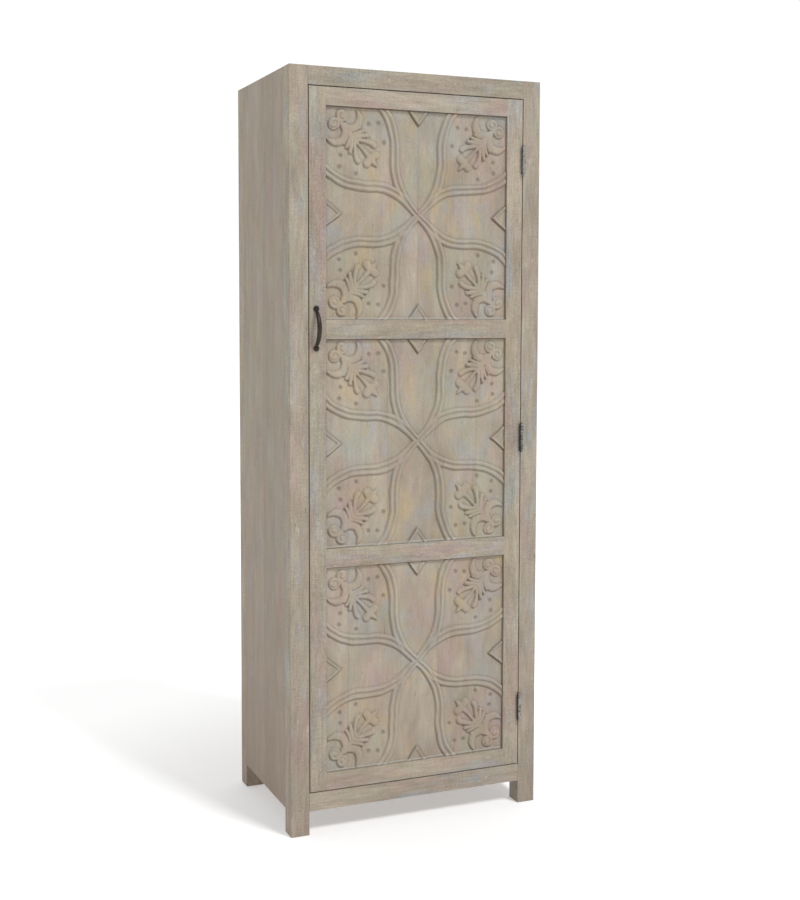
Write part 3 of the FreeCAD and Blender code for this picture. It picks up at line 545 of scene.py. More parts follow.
def make_light():
    """White surroundings, a large soft light from above and a weak one from the left."""
    world = bpy.data.worlds.new("studio")
    world.use_nodes = True
    nodes = Nodes(world.node_tree)
    way = nodes.put("TexCoord", {}, out="Generated")
    behind = nodes.fade(nodes.axis(way, "Y"), SKY_TURN, (SKY_BEFORE, SKY_BEHIND), "SMOOTHSTEP")
    low = nodes.fade(nodes.axis(way, "Z"), SKY_LOW, (SKY_BEHIND, 0.0), "SMOOTHSTEP")
    sky = world.node_tree.nodes["Background"]
    nodes.feed(sky.inputs["Strength"], nodes.maths("MAXIMUM", behind, low))
    nodes.feed(sky.inputs["Color"], WHITE)
    bpy.context.scene.world = world
    bpy.context.scene.view_settings.view_transform = "Standard"
    for name, light in LIGHTS.items():
        area_light(name, *light)


def make_floor():
    """Plain pale floor."""
    mesh = bpy.data.meshes.new("floor")
    corners = ((-1, -1, 0), (1, -1, 0), (1, 1, 0), (-1, 1, 0))
    mesh.from_pydata([Vector(corner) * FLOOR_REACH for corner in corners], [], [(0, 1, 2, 3)])
    floor = add("floor", mesh)
    paint = Paint("floor_white")
    away = paint.put("VectorMath", {0: paint.place()}, out=1, operation="LENGTH")
    glow = paint.fade(away, FLOOR_GLOW_REACH, FLOOR_GLOW, "SMOOTHSTEP")
    paint.set(Base_Color=FLOOR_WHITE, Roughness=FLOOR_ROUGHNESS, Specular_IOR_Level=FLOOR_GLOSS)
    paint.set(Emission_Color=WHITE, Emission_Strength=glow)
    mesh.materials.append(paint.material)


def board_marks(paint, axis, width, start):
    """Random tone of each glued board across an axis, and a thin line at its joints."""
    from_start = paint.maths("SUBTRACT", paint.axis(paint.place(), axis), start)
    place = paint.maths("DIVIDE", from_start, width)
    tone = paint.put("TexWhiteNoise", {"W": paint.maths("FLOOR", place)}, noise_dimensions="1D")
    from_middle = paint.maths("ABSOLUTE", paint.maths("SUBTRACT", paint.maths("FRACT", place), 0.5))
    joint = paint.step(from_middle, *(0.5 - reach / width for reach in JOINT_LINE))
    return tone, joint


def boards_apart(paint, along, tone):
    """Place in the grain, moved by each board's tone, so that boards differ."""
    apart = paint.put("CombineXYZ", {"X": tone, "Z": tone})
    apart = paint.put("VectorMath", {0: apart, "Scale": BOARDS_APART}, operation="SCALE")
    return paint.put("VectorMath", {0: along, 1: apart}, operation="ADD")


def wood_layers(paint, along, look):
    """Noises that sway the tone of wood. Saw marks show in patches of plain wood only."""
    layers = {name: paint.pattern(along, name) for name in ("middling", "streaks", "mottle")}
    layers["broad"] = paint.pattern(along, f"broad_{look}")
    if "sawing" in SWAYS[look]:
        patches = paint.ramp(paint.pattern(along, "sawn"), SAWN_PATCHES)
        sawing = paint.maths("SUBTRACT", paint.pattern(along, "sawing"), 0.5)
        layers["sawing"] = paint.maths("ADD", paint.maths("MULTIPLY", sawing, patches), 0.5)
    return layers


def wood_tints(paint, draw, along, broad, tints, look):
    """Pale and dark wood under clouds of each tint, and a darker, warm tint near the floor."""
    colour = paint.mix(paint.step(broad, *PALE_STEP), TONES["dark"], TONES["pale"])
    wide, long = CLOUD_SHARES[look]
    for tint, (scale, start) in CLOUDS.items():
        shift = tuple(draw.uniform(-CLOUD_SHIFT, CLOUD_SHIFT, 3))
        cloud = paint.noise(along, (scale * wide, scale * wide, scale * long), *CLOUD_NOISE, shift)
        share = paint.ramp(cloud, ((start, 0.0), (start + CLOUD_FADE, tints[tint])))
        colour = paint.mix(share, colour, TONES[tint])
    near_floor = paint.fade(paint.axis(paint.place(), "Z"), LOW_TINT, (0.0, tints["low"]))
    return paint.mix(near_floor, colour, TONES["low"])


def sway(paint, shade, layer, share):
    """Shade, swayed up and down by a layer."""
    swing = paint.maths("MULTIPLY", paint.maths("SUBTRACT", layer, 0.5), share)
    return paint.maths("ADD", swing, shade)


def wood_marks(paint, colour, along, rough):
    """Colour with pores and nicks full of wax and specks of lime, and the marks by name.
    Pores are as many in smooth wood as in rough."""
    marks = {}
    for name, (tone, start, full, share) in MARKS.items():
        marks[name] = paint.step(paint.pattern(along, name), start, full)
        colour = paint.lay(colour, tone, marks[name], share if name == "pores" else share * rough)
    return colour, marks


def carving_marks(paint, colour, along):
    """Colour with what the carved mesh says of lime with painted highlight, rubbed places, and painted
    shade with dark wax.
    """
    rubbed = paint.ramp(paint.pattern(along, "rubbing"), RUBBED_PATCHES)
    # The cavity layer is painted shade and shadow with some dark wax in the dots, and the lime layer is
    # lime with painted highlight
    layers = {"lime_and_highlight": ("lime_and_highlight", LIME_AND_HIGHLIGHT_STRENGTH), "worn": ("worn", rubbed), "painted_shade_and_wax": ("wax_and_shade", SHADE_AND_WAX_STRENGTH)}
    for layer, (tone, share) in layers.items():
        left = paint.put("Attribute", {}, out="Fac", attribute_name=layer)
        colour = paint.lay(colour, tone, left, share)
    return colour


def limed_wood(name, grain, number, rough, tints, shade=1.0, boards=None, look="plain"):
    """Mango wood under a thin lime wash: soft cloudy tints, faint streaks, pores and
    nicks. Rough is how much its tone varies, and shade how light the whole is."""
    paint = Paint(name)
    draw = np.random.default_rng(MATERIAL_SEED + number)
    along = paint.place(turn=GRAIN_TURNS[grain], shift=tuple(draw.uniform(-WOOD_SHIFT, WOOD_SHIFT, 3)))
    if boards:
        tone, joint = board_marks(paint, *boards)
        along = boards_apart(paint, along, tone)
    layers = wood_layers(paint, along, look)
    colour = wood_tints(paint, draw, along, layers["broad"], tints, look)
    for layer, share in SWAYS[look].items():
        shade = sway(paint, shade, layers[layer], share * rough)
    if boards:
        shade = sway(paint, shade, tone, BOARD_SWAYS[look])
        shade = paint.maths("SUBTRACT", shade, paint.maths("MULTIPLY", joint, JOINT_SHADE))
    colour = paint.mix(1.0, colour, shade, "MULTIPLY")
    colour, marks = wood_marks(paint, colour, along, rough)
    if look == "carved":
        colour = carving_marks(paint, colour, along)
    layers.update(marks)
    height = 0.0
    for layer, share in HEIGHTS.items():
        height = paint.maths("ADD", height, paint.maths("MULTIPLY", layers[layer], share))
    roughness = paint.ramp(layers["broad"], WOOD_ROUGHNESS)
    return paint.finish(colour, roughness, height, WOOD_BUMP, Specular_IOR_Level=WOOD_GLOSS)


def metal_place(paint, number):
    """Place in the noises of a metal, shifted at random."""
    draw = np.random.default_rng(MATERIAL_SEED + number)
    return paint.place(shift=tuple(draw.uniform(-METAL_SHIFT, METAL_SHIFT, 3)))


def iron(name, number, tone):
    """Blackened iron of one tone, brown where hands have rubbed it."""
    paint = Paint(name)
    at = metal_place(paint, number)
    worn = paint.step(paint.pattern(at, "iron_wear"), *IRON_WEAR)
    dust = paint.step(paint.pattern(at, "iron_dust"), *IRON_DUST)
    colour = paint.lay(paint.mix(worn, TONES[tone], TONES["rubbed"]), "dust", dust, IRON_DUST_SHARE)
    dents = paint.pattern(at, "iron_dents")
    roughness = paint.ramp(worn, IRON_ROUGHNESS)
    return paint.finish(colour, roughness, dents, IRON_BUMP, Specular_IOR_Level=IRON_GLOSS)


def steel(name, number, tarnish, rust, painted_shadow=None):
    """Plain steel of the hinges, tarnished and rusted by two shares, with a painted shadow
    darkening it to the left of a place across it, where there is one."""
    paint = Paint(name)
    at = metal_place(paint, number)
    dull = paint.step(paint.pattern(at, "tarnish"), *(edge - TARNISH_SPREAD * tarnish for edge in TARNISH))
    red = paint.step(paint.pattern(at, "rust"), *(edge - RUST_SPREAD * rust for edge in RUST))
    colour = paint.lay(paint.mix(dull, TONES["steel"], TONES["tarnish"]), "rust", red, RUST_SHARE)
    # Painted shadow, dark to the left of a wandering edge
    if painted_shadow:
        wander = paint.maths("MULTIPLY", paint.pattern(at, "painted_shadow"), HINGE_SHADOW_WANDER)
        edge = paint.maths("ADD", paint.axis(paint.place(), "X"), wander)
        left = paint.fade(edge, (painted_shadow, painted_shadow + HINGE_SHADOW_FADE), (HINGE_SHADOW_SHARE, 0.0))
        colour = paint.mix(left, colour, TONES["painted_shadow"])
    scratches = paint.pattern(at, "scratches")
    roughness = paint.ramp(dull, STEEL_ROUGHNESS)
    return paint.finish(colour, roughness, scratches, STEEL_BUMP, Metallic=STEEL_METAL)


def catch_plastic():
    """Brown plastic of the catch, faintly mottled."""
    paint = Paint("catch_brown")
    mottle = paint.pattern(paint.place(), "plastic")
    colour = paint.mix(mottle, TONES["plastic_dark"], TONES["plastic_light"])
    return paint.finish(colour, paint.ramp(mottle, PLASTIC_ROUGHNESS), mottle, PLASTIC_BUMP)


def paint_node(name, material):
    """Give a CAD node's object one material."""
    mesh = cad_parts[name].data
    mesh.materials.clear()
    mesh.materials.append(material)


def node_edges(name, width):
    """Soften a CAD node's edges without touching its mesh."""
    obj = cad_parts[name]
    weld = obj.modifiers.new("weld", "WELD")
    weld.merge_threshold = WELD_REACH
    flat = obj.modifiers.new("flat", "DECIMATE")
    flat.decimate_type = "DISSOLVE"
    flat.angle_limit = FLAT_ANGLE
    bevel = obj.modifiers.new("bevel", "BEVEL")
    bevel.width = width
    bevel.segments = 2
    bevel.limit_method = "ANGLE"
    bevel.angle_limit = BEVEL_ANGLE
    bevel.harden_normals = True


class Solid:
    """Closed shells in the making, in metres."""

    def __init__(self):
        self.verts = []
        self.faces = []

    def tube(self, rings, looped=False):
        """Shell through rings of points, either looped or closed by a flat face at each end."""
        count = len(rings[0])
        last = (len(rings) - 1) * count
        faces = [] if looped else [list(range(count))[::-1], list(range(last, last + count))]
        for step in range(len(rings) if looped else len(rings) - 1):
            low = step * count
            high = (step + 1) % len(rings) * count
            for index in range(count):
                after = (index + 1) % count
                faces.append([low + index, low + after, high + after, high + index])
        first = len(self.verts)
        self.verts += [tuple(point) for ring in rings for point in ring]
        self.faces += [[first + index for index in face] for face in faces]

    def turned(self, profile, foot, way, sides=32, looped=False):
        """Shell turned about a line from its foot, by (radius, distance along) points, or a
        sleeve where their outline is looped."""
        way = Vector(way)
        first = way.orthogonal().normalized()
        second = way.cross(first)
        turns = [2 * pi * index / sides for index in range(sides)]
        rings = []
        for radius, along in profile:
            middle = Vector(foot) + way * along
            rings.append([middle + (first * cos(t) + second * sin(t)) * radius for t in turns])
        self.tube(rings, looped)

    def box(self, low, high, radius):
        """Box with rounded edges."""
        box = bmesh.new()
        bmesh.ops.create_cube(box, size=1.0)
        span = Vector(high) - Vector(low)
        middle = (Vector(high) + Vector(low)) / 2
        for vert in box.verts:
            vert.co = Vector(a * b for a, b in zip(vert.co, span)) + middle
        edges = box.edges[:]
        bmesh.ops.bevel(box, geom=edges, offset=radius, segments=2, profile=BOX_PROFILE, affect="EDGES")
        box.verts.index_update()
        first = len(self.verts)
        self.verts += [vert.co[:] for vert in box.verts]
        self.faces += [[first + vert.index for vert in face.verts] for face in box.faces]
        box.free()

    def finish(self, name, material, body, slot, *nodes):
        """Object of these shells, smooth but for its sharp edges, riding on a body."""
        mesh = bpy.data.meshes.new(name)
        mesh.from_pydata(self.verts, [], self.faces)
        outward = bmesh.new()
        outward.from_mesh(mesh)
        bmesh.ops.recalc_face_normals(outward, faces=outward.faces[:])
        outward.to_mesh(mesh)
        outward.free()
        mesh.shade_smooth()
        mesh.set_sharp_from_angle(angle=SHARP_ANGLE)
        mesh.materials.append(material)
        obj = add(name, mesh)
        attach(obj, body)
        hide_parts(*nodes)
        return obj


def screw(solid, seat, way, rise, slot_turn, length):
    """Screw: a head in two halves with a slot between them, on a disc below the slot, and
    a shank from there into the wood."""
    way = Vector(way)
    first = way.orthogonal().normalized()
    second = way.cross(first)
    slot_way = first * cos(slot_turn) + second * sin(slot_turn)
    over = way.cross(slot_way)
    solid.turned([(SCREW_HEAD * share, rise * up) for share, up in HEAD_DISC], seat, way)
    for side in (1, -1):
        rings = []
        for share, up in HEAD_DOME:
            ring = []
            for step in range(HEAD_STEPS + 1):
                turn = pi * (step / HEAD_STEPS - 0.5)
                across = max(SCREW_SLOT, SCREW_HEAD * share * cos(turn))
                along = SCREW_HEAD * share * sin(turn)
                ring.append(Vector(seat) + way * rise * up + over * across * side + slot_way * along)
            rings.append(ring)
        solid.tube(rings)
    solid.turned(((SCREW_SHANK, 0.0), (SCREW_SHANK, length)), seat, -way, SHANK_SIDES)


def bar_ring(centre, outward, width, depth):
    """Points round one section of the pull's bar, a square with round sides."""
    ring = []
    for step in range(PULL_BAR_SIDES):
        angle = 2 * pi * step / PULL_BAR_SIDES
        round_sum = abs(cos(angle)) ** PULL_BAR_SQUARE + abs(sin(angle)) ** PULL_BAR_SQUARE
        reach = round_sum ** (-1 / PULL_BAR_SQUARE)
        across = Vector((1, 0, 0)) * (width / 2 * cos(angle) * reach)
        ring.append(centre + across + outward * (depth / 2 * sin(angle) * reach))
    return ring


def bow_bar(solid, middle, face, depth):
    """Bar of the pull on an arc, which swells from its necks to its middle."""
    bow = depth - PULL_BAR_MIDDLE[1] / 2 - PULL_BAR_RISE
    radius = (PULL_BAR_START ** 2 + bow ** 2) / (2 * bow)
    sweep = asin(PULL_BAR_START / radius)
    arc_middle = face - PULL_BAR_RISE - bow + radius
    rings = []
    for count in range(PULL_SECTIONS):
        turn = sweep * (2 * count / (PULL_SECTIONS - 1) - 1)
        swell = cos(turn / sweep * pi / 2) ** PULL_BAR_SWELL
        size = [neck + (full - neck) * swell for neck, full in zip(PULL_BAR_NECK, PULL_BAR_MIDDLE)]
        outward = Vector((0, -cos(turn), sin(turn)))
        rings.append(bar_ring(Vector((middle.x, arc_middle, middle.z)) + outward * radius, outward, *size))
    solid.tube(rings)


def pull():
    """Bow pull on two round feet, and its two screws."""
    low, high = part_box("pull_handle")
    middle = (low + high) / 2
    bar = Solid()
    bow_bar(bar, middle, high.y, high.y - low.y)
    screws = Solid()
    for side, slot_turn in PULL_SLOT_TURNS.items():
        foot = Vector((middle.x, high.y, middle.z + side * PULL_CENTRES / 2))
        bar.turned(PULL_FOOT, foot, (0, -1, 0), PULL_FOOT_SIDES)
        seat = foot - Vector((0, PULL_FOOT[-1][1], 0))
        screw(screws, seat, (0, -1, 0), PULL_SCREW_RISE, slot_turn, PULL_SCREW_LENGTH)
    bar.finish("bow_pull", iron("pull_iron", SEEDS["pull"], "pull"), "door", "pull_iron", "pull_handle")
    screw_iron = iron("screw_iron", SEEDS["pull_screws"], "pull_screw")
    screws.finish("bow_pull_screws", screw_iron, "door", "pull_iron", "pull_handle_screws")


def leaf_seat(body):
    """Front of the case, where a body's leaves lie across, and the way into its wood."""
    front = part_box("front_top_rail")[0].y
    if body == "case":
        return front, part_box("post_front_right")[0].x, 1
    return front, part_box("door_hinge_stile")[1].x, -1


def hinge_leaf(level, body, material):
    """Leaf of a butt hinge, with every other knuckle rolled round the pin."""
    node = f"hinge_{level}_{body}_leaf"
    low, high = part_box(node)
    axis = (low.x + high.x) / 2
    radius = (high.x - low.x) / 2
    depth = low.y + radius
    front, edge, inward = leaf_seat(body)
    left, right = sorted((edge, edge + inward * LEAF_THICKNESS))
    long = (high.z - low.z - (KNUCKLES - 1) * KNUCKLE_GAP) / KNUCKLES
    profile = (
        (KNUCKLE_BORE, 0), (radius - KNUCKLE_EDGE, 0), (radius, KNUCKLE_EDGE),
        (radius, long - KNUCKLE_EDGE), (radius - KNUCKLE_EDGE, long), (KNUCKLE_BORE, long),
    )
    solid = Solid()
    solid.box((left, front, low.z), (right, high.y, high.z), LEAF_EDGE)
    for count in range(0 if body == "case" else 1, KNUCKLES, 2):
        start = low.z + count * (long + KNUCKLE_GAP)
        solid.box((left, depth, start), (right, front + NECK_DEPTH, start + long), NECK_EDGE)
        solid.turned(profile, (axis, depth, start), (0, 0, 1), looped=True)
    solid.finish(f"butt_{level}_{body}", material, body, "hinge_steel", node)


def hinge_pin(level, material):
    """Pin of a butt hinge, with a round cap at each end."""
    low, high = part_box(f"hinge_{level}_pin")
    middle = (low + high) / 2
    cap = PIN_CAP[-1][1]
    foot = (middle.x, middle.y, low.z + cap)
    head = (middle.x, middle.y, high.z - cap)
    pin = Solid()
    pin.turned(((PIN_RADIUS, 0.0), (PIN_RADIUS, high.z - low.z - 2 * cap)), foot, (0, 0, 1))
    pin.turned(PIN_CAP, foot, (0, 0, -1))
    pin.turned(PIN_CAP, head, (0, 0, 1))
    pin.finish(f"butt_{level}_pin", material, "case", "hinge_steel", f"hinge_{level}_pin")


def hinge_screws(solid, level, body):
    """Three flat screws through one leaf, the middle one set back from the others."""
    low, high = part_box(f"hinge_{level}_{body}_leaf")
    front, edge, inward = leaf_seat(body)
    outward = Vector((-inward, 0, 0))
    for count, slot_turn in HINGE_SLOT_TURNS.items():
        over = (front + high.y) / 2 + HINGE_SCREW_STAGGER * (1 if count == 0 else -1)
        seat = Vector((edge, over, (low.z + high.z) / 2 + count * HINGE_SCREW_STEP))
        sunk = seat - outward * HINGE_SCREW_SINK
        screw(solid, sunk, outward, HINGE_SCREW_RISE, slot_turn, HINGE_SCREW_LENGTH)


def hinges():
    """Three butt hinges, their pins, and the flat screws that hold each side."""
    # Edge of the painted shadow on the knuckles
    painted_shadow = sum(corner.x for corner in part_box("hinge_top_pin")) / 2 - HINGE_SHADOW_REACH
    screws = {"case": Solid(), "door": Solid()}
    for level, (number, tarnish, rust, further) in HINGE_STEELS.items():
        material = steel(f"hinge_steel_{level}", number, tarnish, rust, painted_shadow + further)
        for body, solid in screws.items():
            hinge_leaf(level, body, material)
            hinge_screws(solid, level, body)
        hinge_pin(level, material)
    for body, solid in screws.items():
        material = steel(f"screw_steel_{body}", SEEDS["hinge_screws"], *SCREW_STEEL)
        solid.finish(f"butt_screws_{body}", material, body, "hinge_steel", f"{body}_hinge_screws")


def held(field):
    """Field held between nought and one."""
    return np.clip(field, 0, 1)


def smoothed(field, weight):
    """Field with its short waves taken out, by a weight on the square of the frequency."""
    down = np.fft.fftfreq(field.shape[0])[:, None]
    over = np.fft.rfftfreq(field.shape[1])[None, :]
    waves = np.fft.rfft2(field) * np.exp(-weight * (down ** 2 + over ** 2))
    return np.fft.irfft2(waves, field.shape)


def smooth_field(shape, wavelength, draw):
    """Random field of unit spread that varies over a wavelength in cells."""
    field = smoothed(draw.standard_normal(shape), 2 * wavelength ** 2)
    return field / field.std()


def blurred(field, radius):
    """Field smoothed over a radius in cells, with its edges held."""
    pad = int(radius * 3)
    wide = np.pad(field, pad, mode="edge")
    return smoothed(wide, 2 * (pi * radius) ** 2)[pad:-pad, pad:-pad]


def arc_points(centre, radius, start, end, count):
    """Points along an arc between two angles in radians."""
    angles = np.linspace(start, end, count)
    return np.stack([centre[0] + radius * np.cos(angles), centre[1] + radius * np.sin(angles)], 1)


def band_line(along_half, over_half, angle, shares):
    """Centre line of a carved band, from the panel's middle to past its edge."""
    slope = radians(angle)
    first = shares["first"] * along_half
    last = shares["last"] * along_half
    waist = shares["waist"] * over_half
    inner = (first * sin(slope) - waist * cos(slope)) / (1 - cos(slope))
    run = along_half - last
    flare = shares["flare"] * over_half
    outer = (run ** 2 + flare ** 2) / (2 * flare)
    bend = arc_points((first, waist - inner), inner, pi / 2 + slope, pi / 2, BEND_POINTS)
    reach = asin((run + BAND_OVERRUN) / outer)
    rise = arc_points((last, waist + outer), outer, -pi / 2, -pi / 2 + reach, FLARE_POINTS)
    return np.concatenate([[(0.0, 0.0)], bend, rise])


def beside_line(u, v, line):
    """Signed distance of every point from a line of points, positive on its left."""
    best = np.full(u.shape, np.inf)
    side = np.ones(u.shape)
    for start, end in zip(line, line[1:]):
        run = end - start
        share = held(((u - start[0]) * run[0] + (v - start[1]) * run[1]) / (run @ run))
        off_u = u - start[0] - share * run[0]
        off_v = v - start[1] - share * run[1]
        distance = np.hypot(off_u, off_v)
        near = distance < best
        best = np.where(near, distance, best)
        side = np.where(near, np.sign(run[0] * off_v - run[1] * off_u), side)
    return best * side


def round_top(offset, half):
    """Cross-section of a raised moulding, from one at its middle to nothing at its sides."""
    share = held(np.abs(offset) / half)
    foot = sqrt(1 - BEAD_ROUNDNESS ** 2)
    return (np.sqrt(1 - (BEAD_ROUNDNESS * share) ** 2) - foot) / (1 - foot)


def carve_band(offset):
    """Height of the two beads of a band over the ground, and of the groove between them."""
    middle = (BEAD_WIDTH + BEAD_GROOVE / 2) / 2
    half = (BEAD_WIDTH - BEAD_GROOVE / 2) / 2 + BEAD_OVERLAP
    height = RELIEF * round_top(np.abs(offset) - middle, half)
    return np.where(np.abs(offset) < middle, np.maximum(height, RELIEF - BEAD_GROOVE_DEPTH), height)


def carve_bands(u, v, half_u, half_v):
    """Height of the crossing bands, and how far outside each of them every point is."""
    side_line = band_line(half_u, half_v, CROSS_ANGLE, SIDE_BAND_SHARES)
    end_line = band_line(half_v, half_u, 90 - CROSS_ANGLE, END_BAND_SHARES)[:, ::-1]
    from_middle = held(np.hypot(u, v) / CROSSING_REACH)
    narrow = CROSSING_WIDTH + (1 - CROSSING_WIDTH) * from_middle ** 2 * (3 - 2 * from_middle)
    side_off = beside_line(u, v, side_line) / narrow
    end_off = beside_line(u, v, end_line) / narrow
    height = np.maximum(carve_band(side_off), carve_band(end_off))
    return height, np.abs(side_off) - BEAD_WIDTH, np.abs(end_off) - BEAD_WIDTH


def carve_triangle(along, over, half, size):
    """Height of the small triangle that stands on a panel's edge, and the distance
    inward from its outer edge."""
    height, foot = size
    slope = atan2(foot, height)
    inward = (along - (half - height)) * sin(slope) - np.abs(over) * cos(slope)
    ridge = RELIEF * round_top(inward - TRIANGLE_BAND / 2, TRIANGLE_BAND / 2)
    inside = inward > TRIANGLE_BAND / 2
    return np.where(inside, np.maximum(ridge, RELIEF - TRIANGLE_SINK), ridge), inward


def leaf_points(points, widths):
    """Close points along a leaf's curve and the half width at each."""
    points = np.array(points, float)
    fine = np.linspace(0, len(points) - 1, LEAF_STEPS * (len(points) - 1) + 1)
    padded = np.concatenate([[2 * points[0] - points[1]], points, [2 * points[-1] - points[-2]]])
    index = np.minimum(fine.astype(int), len(points) - 2)
    t = (fine - index)[:, None]
    p0, p1, p2, p3 = (padded[index + step] for step in range(4))
    bend = 2 * p0 - 5 * p1 + 4 * p2 - p3
    twist = 3 * p1 - p0 - 3 * p2 + p3
    curve = 0.5 * (2 * p1 + (p2 - p0) * t + bend * t ** 2 + twist * t ** 3)
    return curve, np.interp(fine, np.arange(len(points)), widths)


def carve_leaf(a, b, points, widths, height, vein):
    """Height of one leaf: a rounded ridge, with a shallow vein where it has one."""
    curve, halves = leaf_points(points, widths)
    best = np.full(a.shape, np.inf)
    near_offset = np.zeros(a.shape)
    for (x, y), half in zip(curve, halves):
        distance = np.hypot(a - x, b - y)
        share = distance / half
        closer = share < best
        best = np.where(closer, share, best)
        near_offset = np.where(closer, distance, near_offset)
    top = np.sqrt(held(1 - held(best) ** LEAF_ROUNDNESS))
    return height * top - vein * np.exp(-(near_offset / VEIN_WIDTH) ** 2) * (best < 1)


def carve_scroll(a, b):
    """Height of one scroll: a round knob with a coiled groove cut into it."""
    x = a - SCROLL_CENTRE[0]
    y = b - SCROLL_CENTRE[1]
    radius = np.hypot(x, y)
    angle = np.mod(np.arctan2(y, -x), 2 * pi)
    height = RELIEF * np.sqrt(held(1 - (radius / SCROLL_RADIUS) ** SCROLL_SHOULDER))
    start, wide = SCROLL_START
    end, tight = SCROLL_END
    for lap in (0, 1):
        share = (angle + 2 * pi * lap - start) / (end - start)
        coil = wide + (tight - wide) * share
        fade = held(np.minimum(share, 1 - share) / SCROLL_FADE) * (share > 0) * (share < 1)
        height -= SCROLL_CUT_DEPTH * fade * np.exp(-((radius - coil) / SCROLL_CUT) ** 2)
    return np.clip(height, 0, None)


def round_holes(a, b, holes):
    """Depth of round holes, from one at their middles to nothing at their edges."""
    reaches = [np.hypot(a - along, b - over) / radius for along, over, radius in holes]
    return held(1 - np.minimum.reduce(reaches) ** 2)


def carve_sprig(u, v, half_u, half_v):
    """Height of the sprig in one corner over the ground, and how deep its eyes are."""
    root = np.array([half_u - SPRIG_INSET, half_v - SPRIG_INSET])
    axis = -root / np.hypot(*root)
    du = u - root[0]
    dv = v - root[1]
    a = du * axis[0] + dv * axis[1]
    b = np.abs(dv * axis[0] - du * axis[1])
    height = carve_scroll(a, b)
    for leaf in LEAVES.values():
        height = np.maximum(height, carve_leaf(a, b, *leaf))
    return height, round_holes(a, b, EYES)


def painted_shade_and_light(height, marks, from_side, from_top, from_ledge):
    """Shares of painted shade with dark wax, and of lime with painted highlight, on the face.
    Painted shade falls in hollows, on edges that face away from the light and along the
    triangles' outlines, painted shadow along the frame at the sides and the top, and dark
    wax with painted shade in the dots; painted highlight goes on edges that face the light
    and along the bottom ledge, and lime on crests."""
    around = blurred(height, HOLLOW_BLUR)
    hollow_shade = held((around - height) / HOLLOW_DEPTH)
    crest = held((height - around) / CREST_HEIGHT)
    up, over = np.gradient(height, CELL)
    # Edges that rise towards the light face away from it and take painted shade; edges that fall towards it
    # take painted highlight
    facing = (over * PAINTED_SHADE_WAY[0] + up * PAINTED_SHADE_WAY[1]) / PAINTED_SHADE_SLOPE
    shaded = blurred(held(facing), FACING_BLUR)
    lit = blurred(held(-facing), FACING_BLUR)
    wax_and_shade = SHADE_AND_WAX_SHARES["hollow_shade"] * hollow_shade + SHADE_AND_WAX_SHARES["facing"] * shaded
    for mark, depth in marks.items():
        wax_and_shade += SHADE_AND_WAX_SHARES[mark] * depth
    # Painted shadow cast by the stiles along the sides and by the rail along the top
    wax_and_shade += SHADE_AND_WAX_SHARES["side"] * held(1 - from_side / FRAME_SHADOW_REACH)
    wax_and_shade += SHADE_AND_WAX_SHARES["top"] * np.sqrt(held(1 - from_top / FRAME_SHADOW_REACH))
    # Painted highlight along the bottom ledge, lit from above, where no painted shade goes
    ledge_highlight = held(2 - 2 * from_ledge / LEDGE_HIGHLIGHT_REACH)
    lime_and_highlight = LIME_AND_HIGHLIGHT_SHARES["lit"] * lit + LIME_AND_HIGHLIGHT_SHARES["crest"] * crest + LIME_AND_HIGHLIGHT_SHARES["ledge_highlight"] * ledge_highlight
    return np.clip(wax_and_shade, 0, 1 / SHADE_AND_WAX_STRENGTH) * (1 - ledge_highlight), held(lime_and_highlight)


def edge_cut(outsides):
    """Share of a thin cut just outside each of some outlines."""
    reaches = [np.abs(outside - EDGE_CUT_WIDTH / 2) / EDGE_CUT_WIDTH for outside in outsides]
    return held(1 - np.minimum.reduce(reaches))


def relief(half_u, half_v, draw):
    """Carved face over a grid, in millimetres: the grid, its height from the face plane,
    and the layers that its material takes from the mesh."""
    columns = int(2 * half_u / CELL) + 1
    rows = int(2 * half_v / CELL) + 1
    grid_u, grid_v = np.meshgrid(np.linspace(-half_u, half_u, columns), np.linspace(-half_v, half_v, rows))
    shape = grid_u.shape
    u = np.abs(grid_u + HAND_WANDER * smooth_field(shape, HAND_WAVE, draw))
    v = np.abs(grid_v + HAND_WANDER * smooth_field(shape, HAND_WAVE, draw))
    bands, outside_side, outside_end = carve_bands(u, v, half_u, half_v)
    side_triangle, side_inward = carve_triangle(u, v, half_u, SIDE_TRIANGLE)
    end_triangle, end_inward = carve_triangle(v, u, half_v, END_TRIANGLE)
    sprig, eyes = carve_sprig(u, v, half_u, half_v)
    height = np.maximum.reduce([bands, side_triangle, end_triangle, sprig])
    inward = np.maximum(side_inward, end_inward)
    ground = height <= GROUND_LEAST
    outline = held(blurred(np.where(sprig > SPRIG_LEAST, 1.0, 0.0), OUTLINE_WIDTH / CELL) * 2)
    sunk = OUTLINE_DEPTH * outline
    sunk += EDGE_CUT_DEPTH * edge_cut((outside_side, outside_end, -inward))
    sunk += EYE_DEPTH * eyes
    dots = round_holes(u, v, [(*dot, DOT_RADIUS) for dot in DOTS])
    height = blurred(height - np.where(ground, sunk, 0) - DOT_DEPTH * dots, CARVED_BLUR)
    # Painted shade along the triangles' outlines, and painted shade with dark wax in the dots
    line = held(1 - np.abs(inward - TRIANGLE_LINE[0]) / TRIANGLE_LINE[1])
    marks = {"dots": dots, "triangles": line}
    wax_and_shade, lime_and_highlight = painted_shade_and_light(height, marks, half_u - np.abs(grid_u), half_v - grid_v, half_v + grid_v)
    tool_marks = np.where(ground, TOOL_MARKS["ground"], TOOL_MARKS["raised"])
    height += tool_marks * smooth_field(shape, TOOL_WAVE, draw)
    worn = blurred(held(sprig / RELIEF), WORN_BLUR)
    return grid_u, grid_v, height - RELIEF, {"painted_shade_and_wax": wax_and_shade, "lime_and_highlight": lime_and_highlight, "worn": worn}


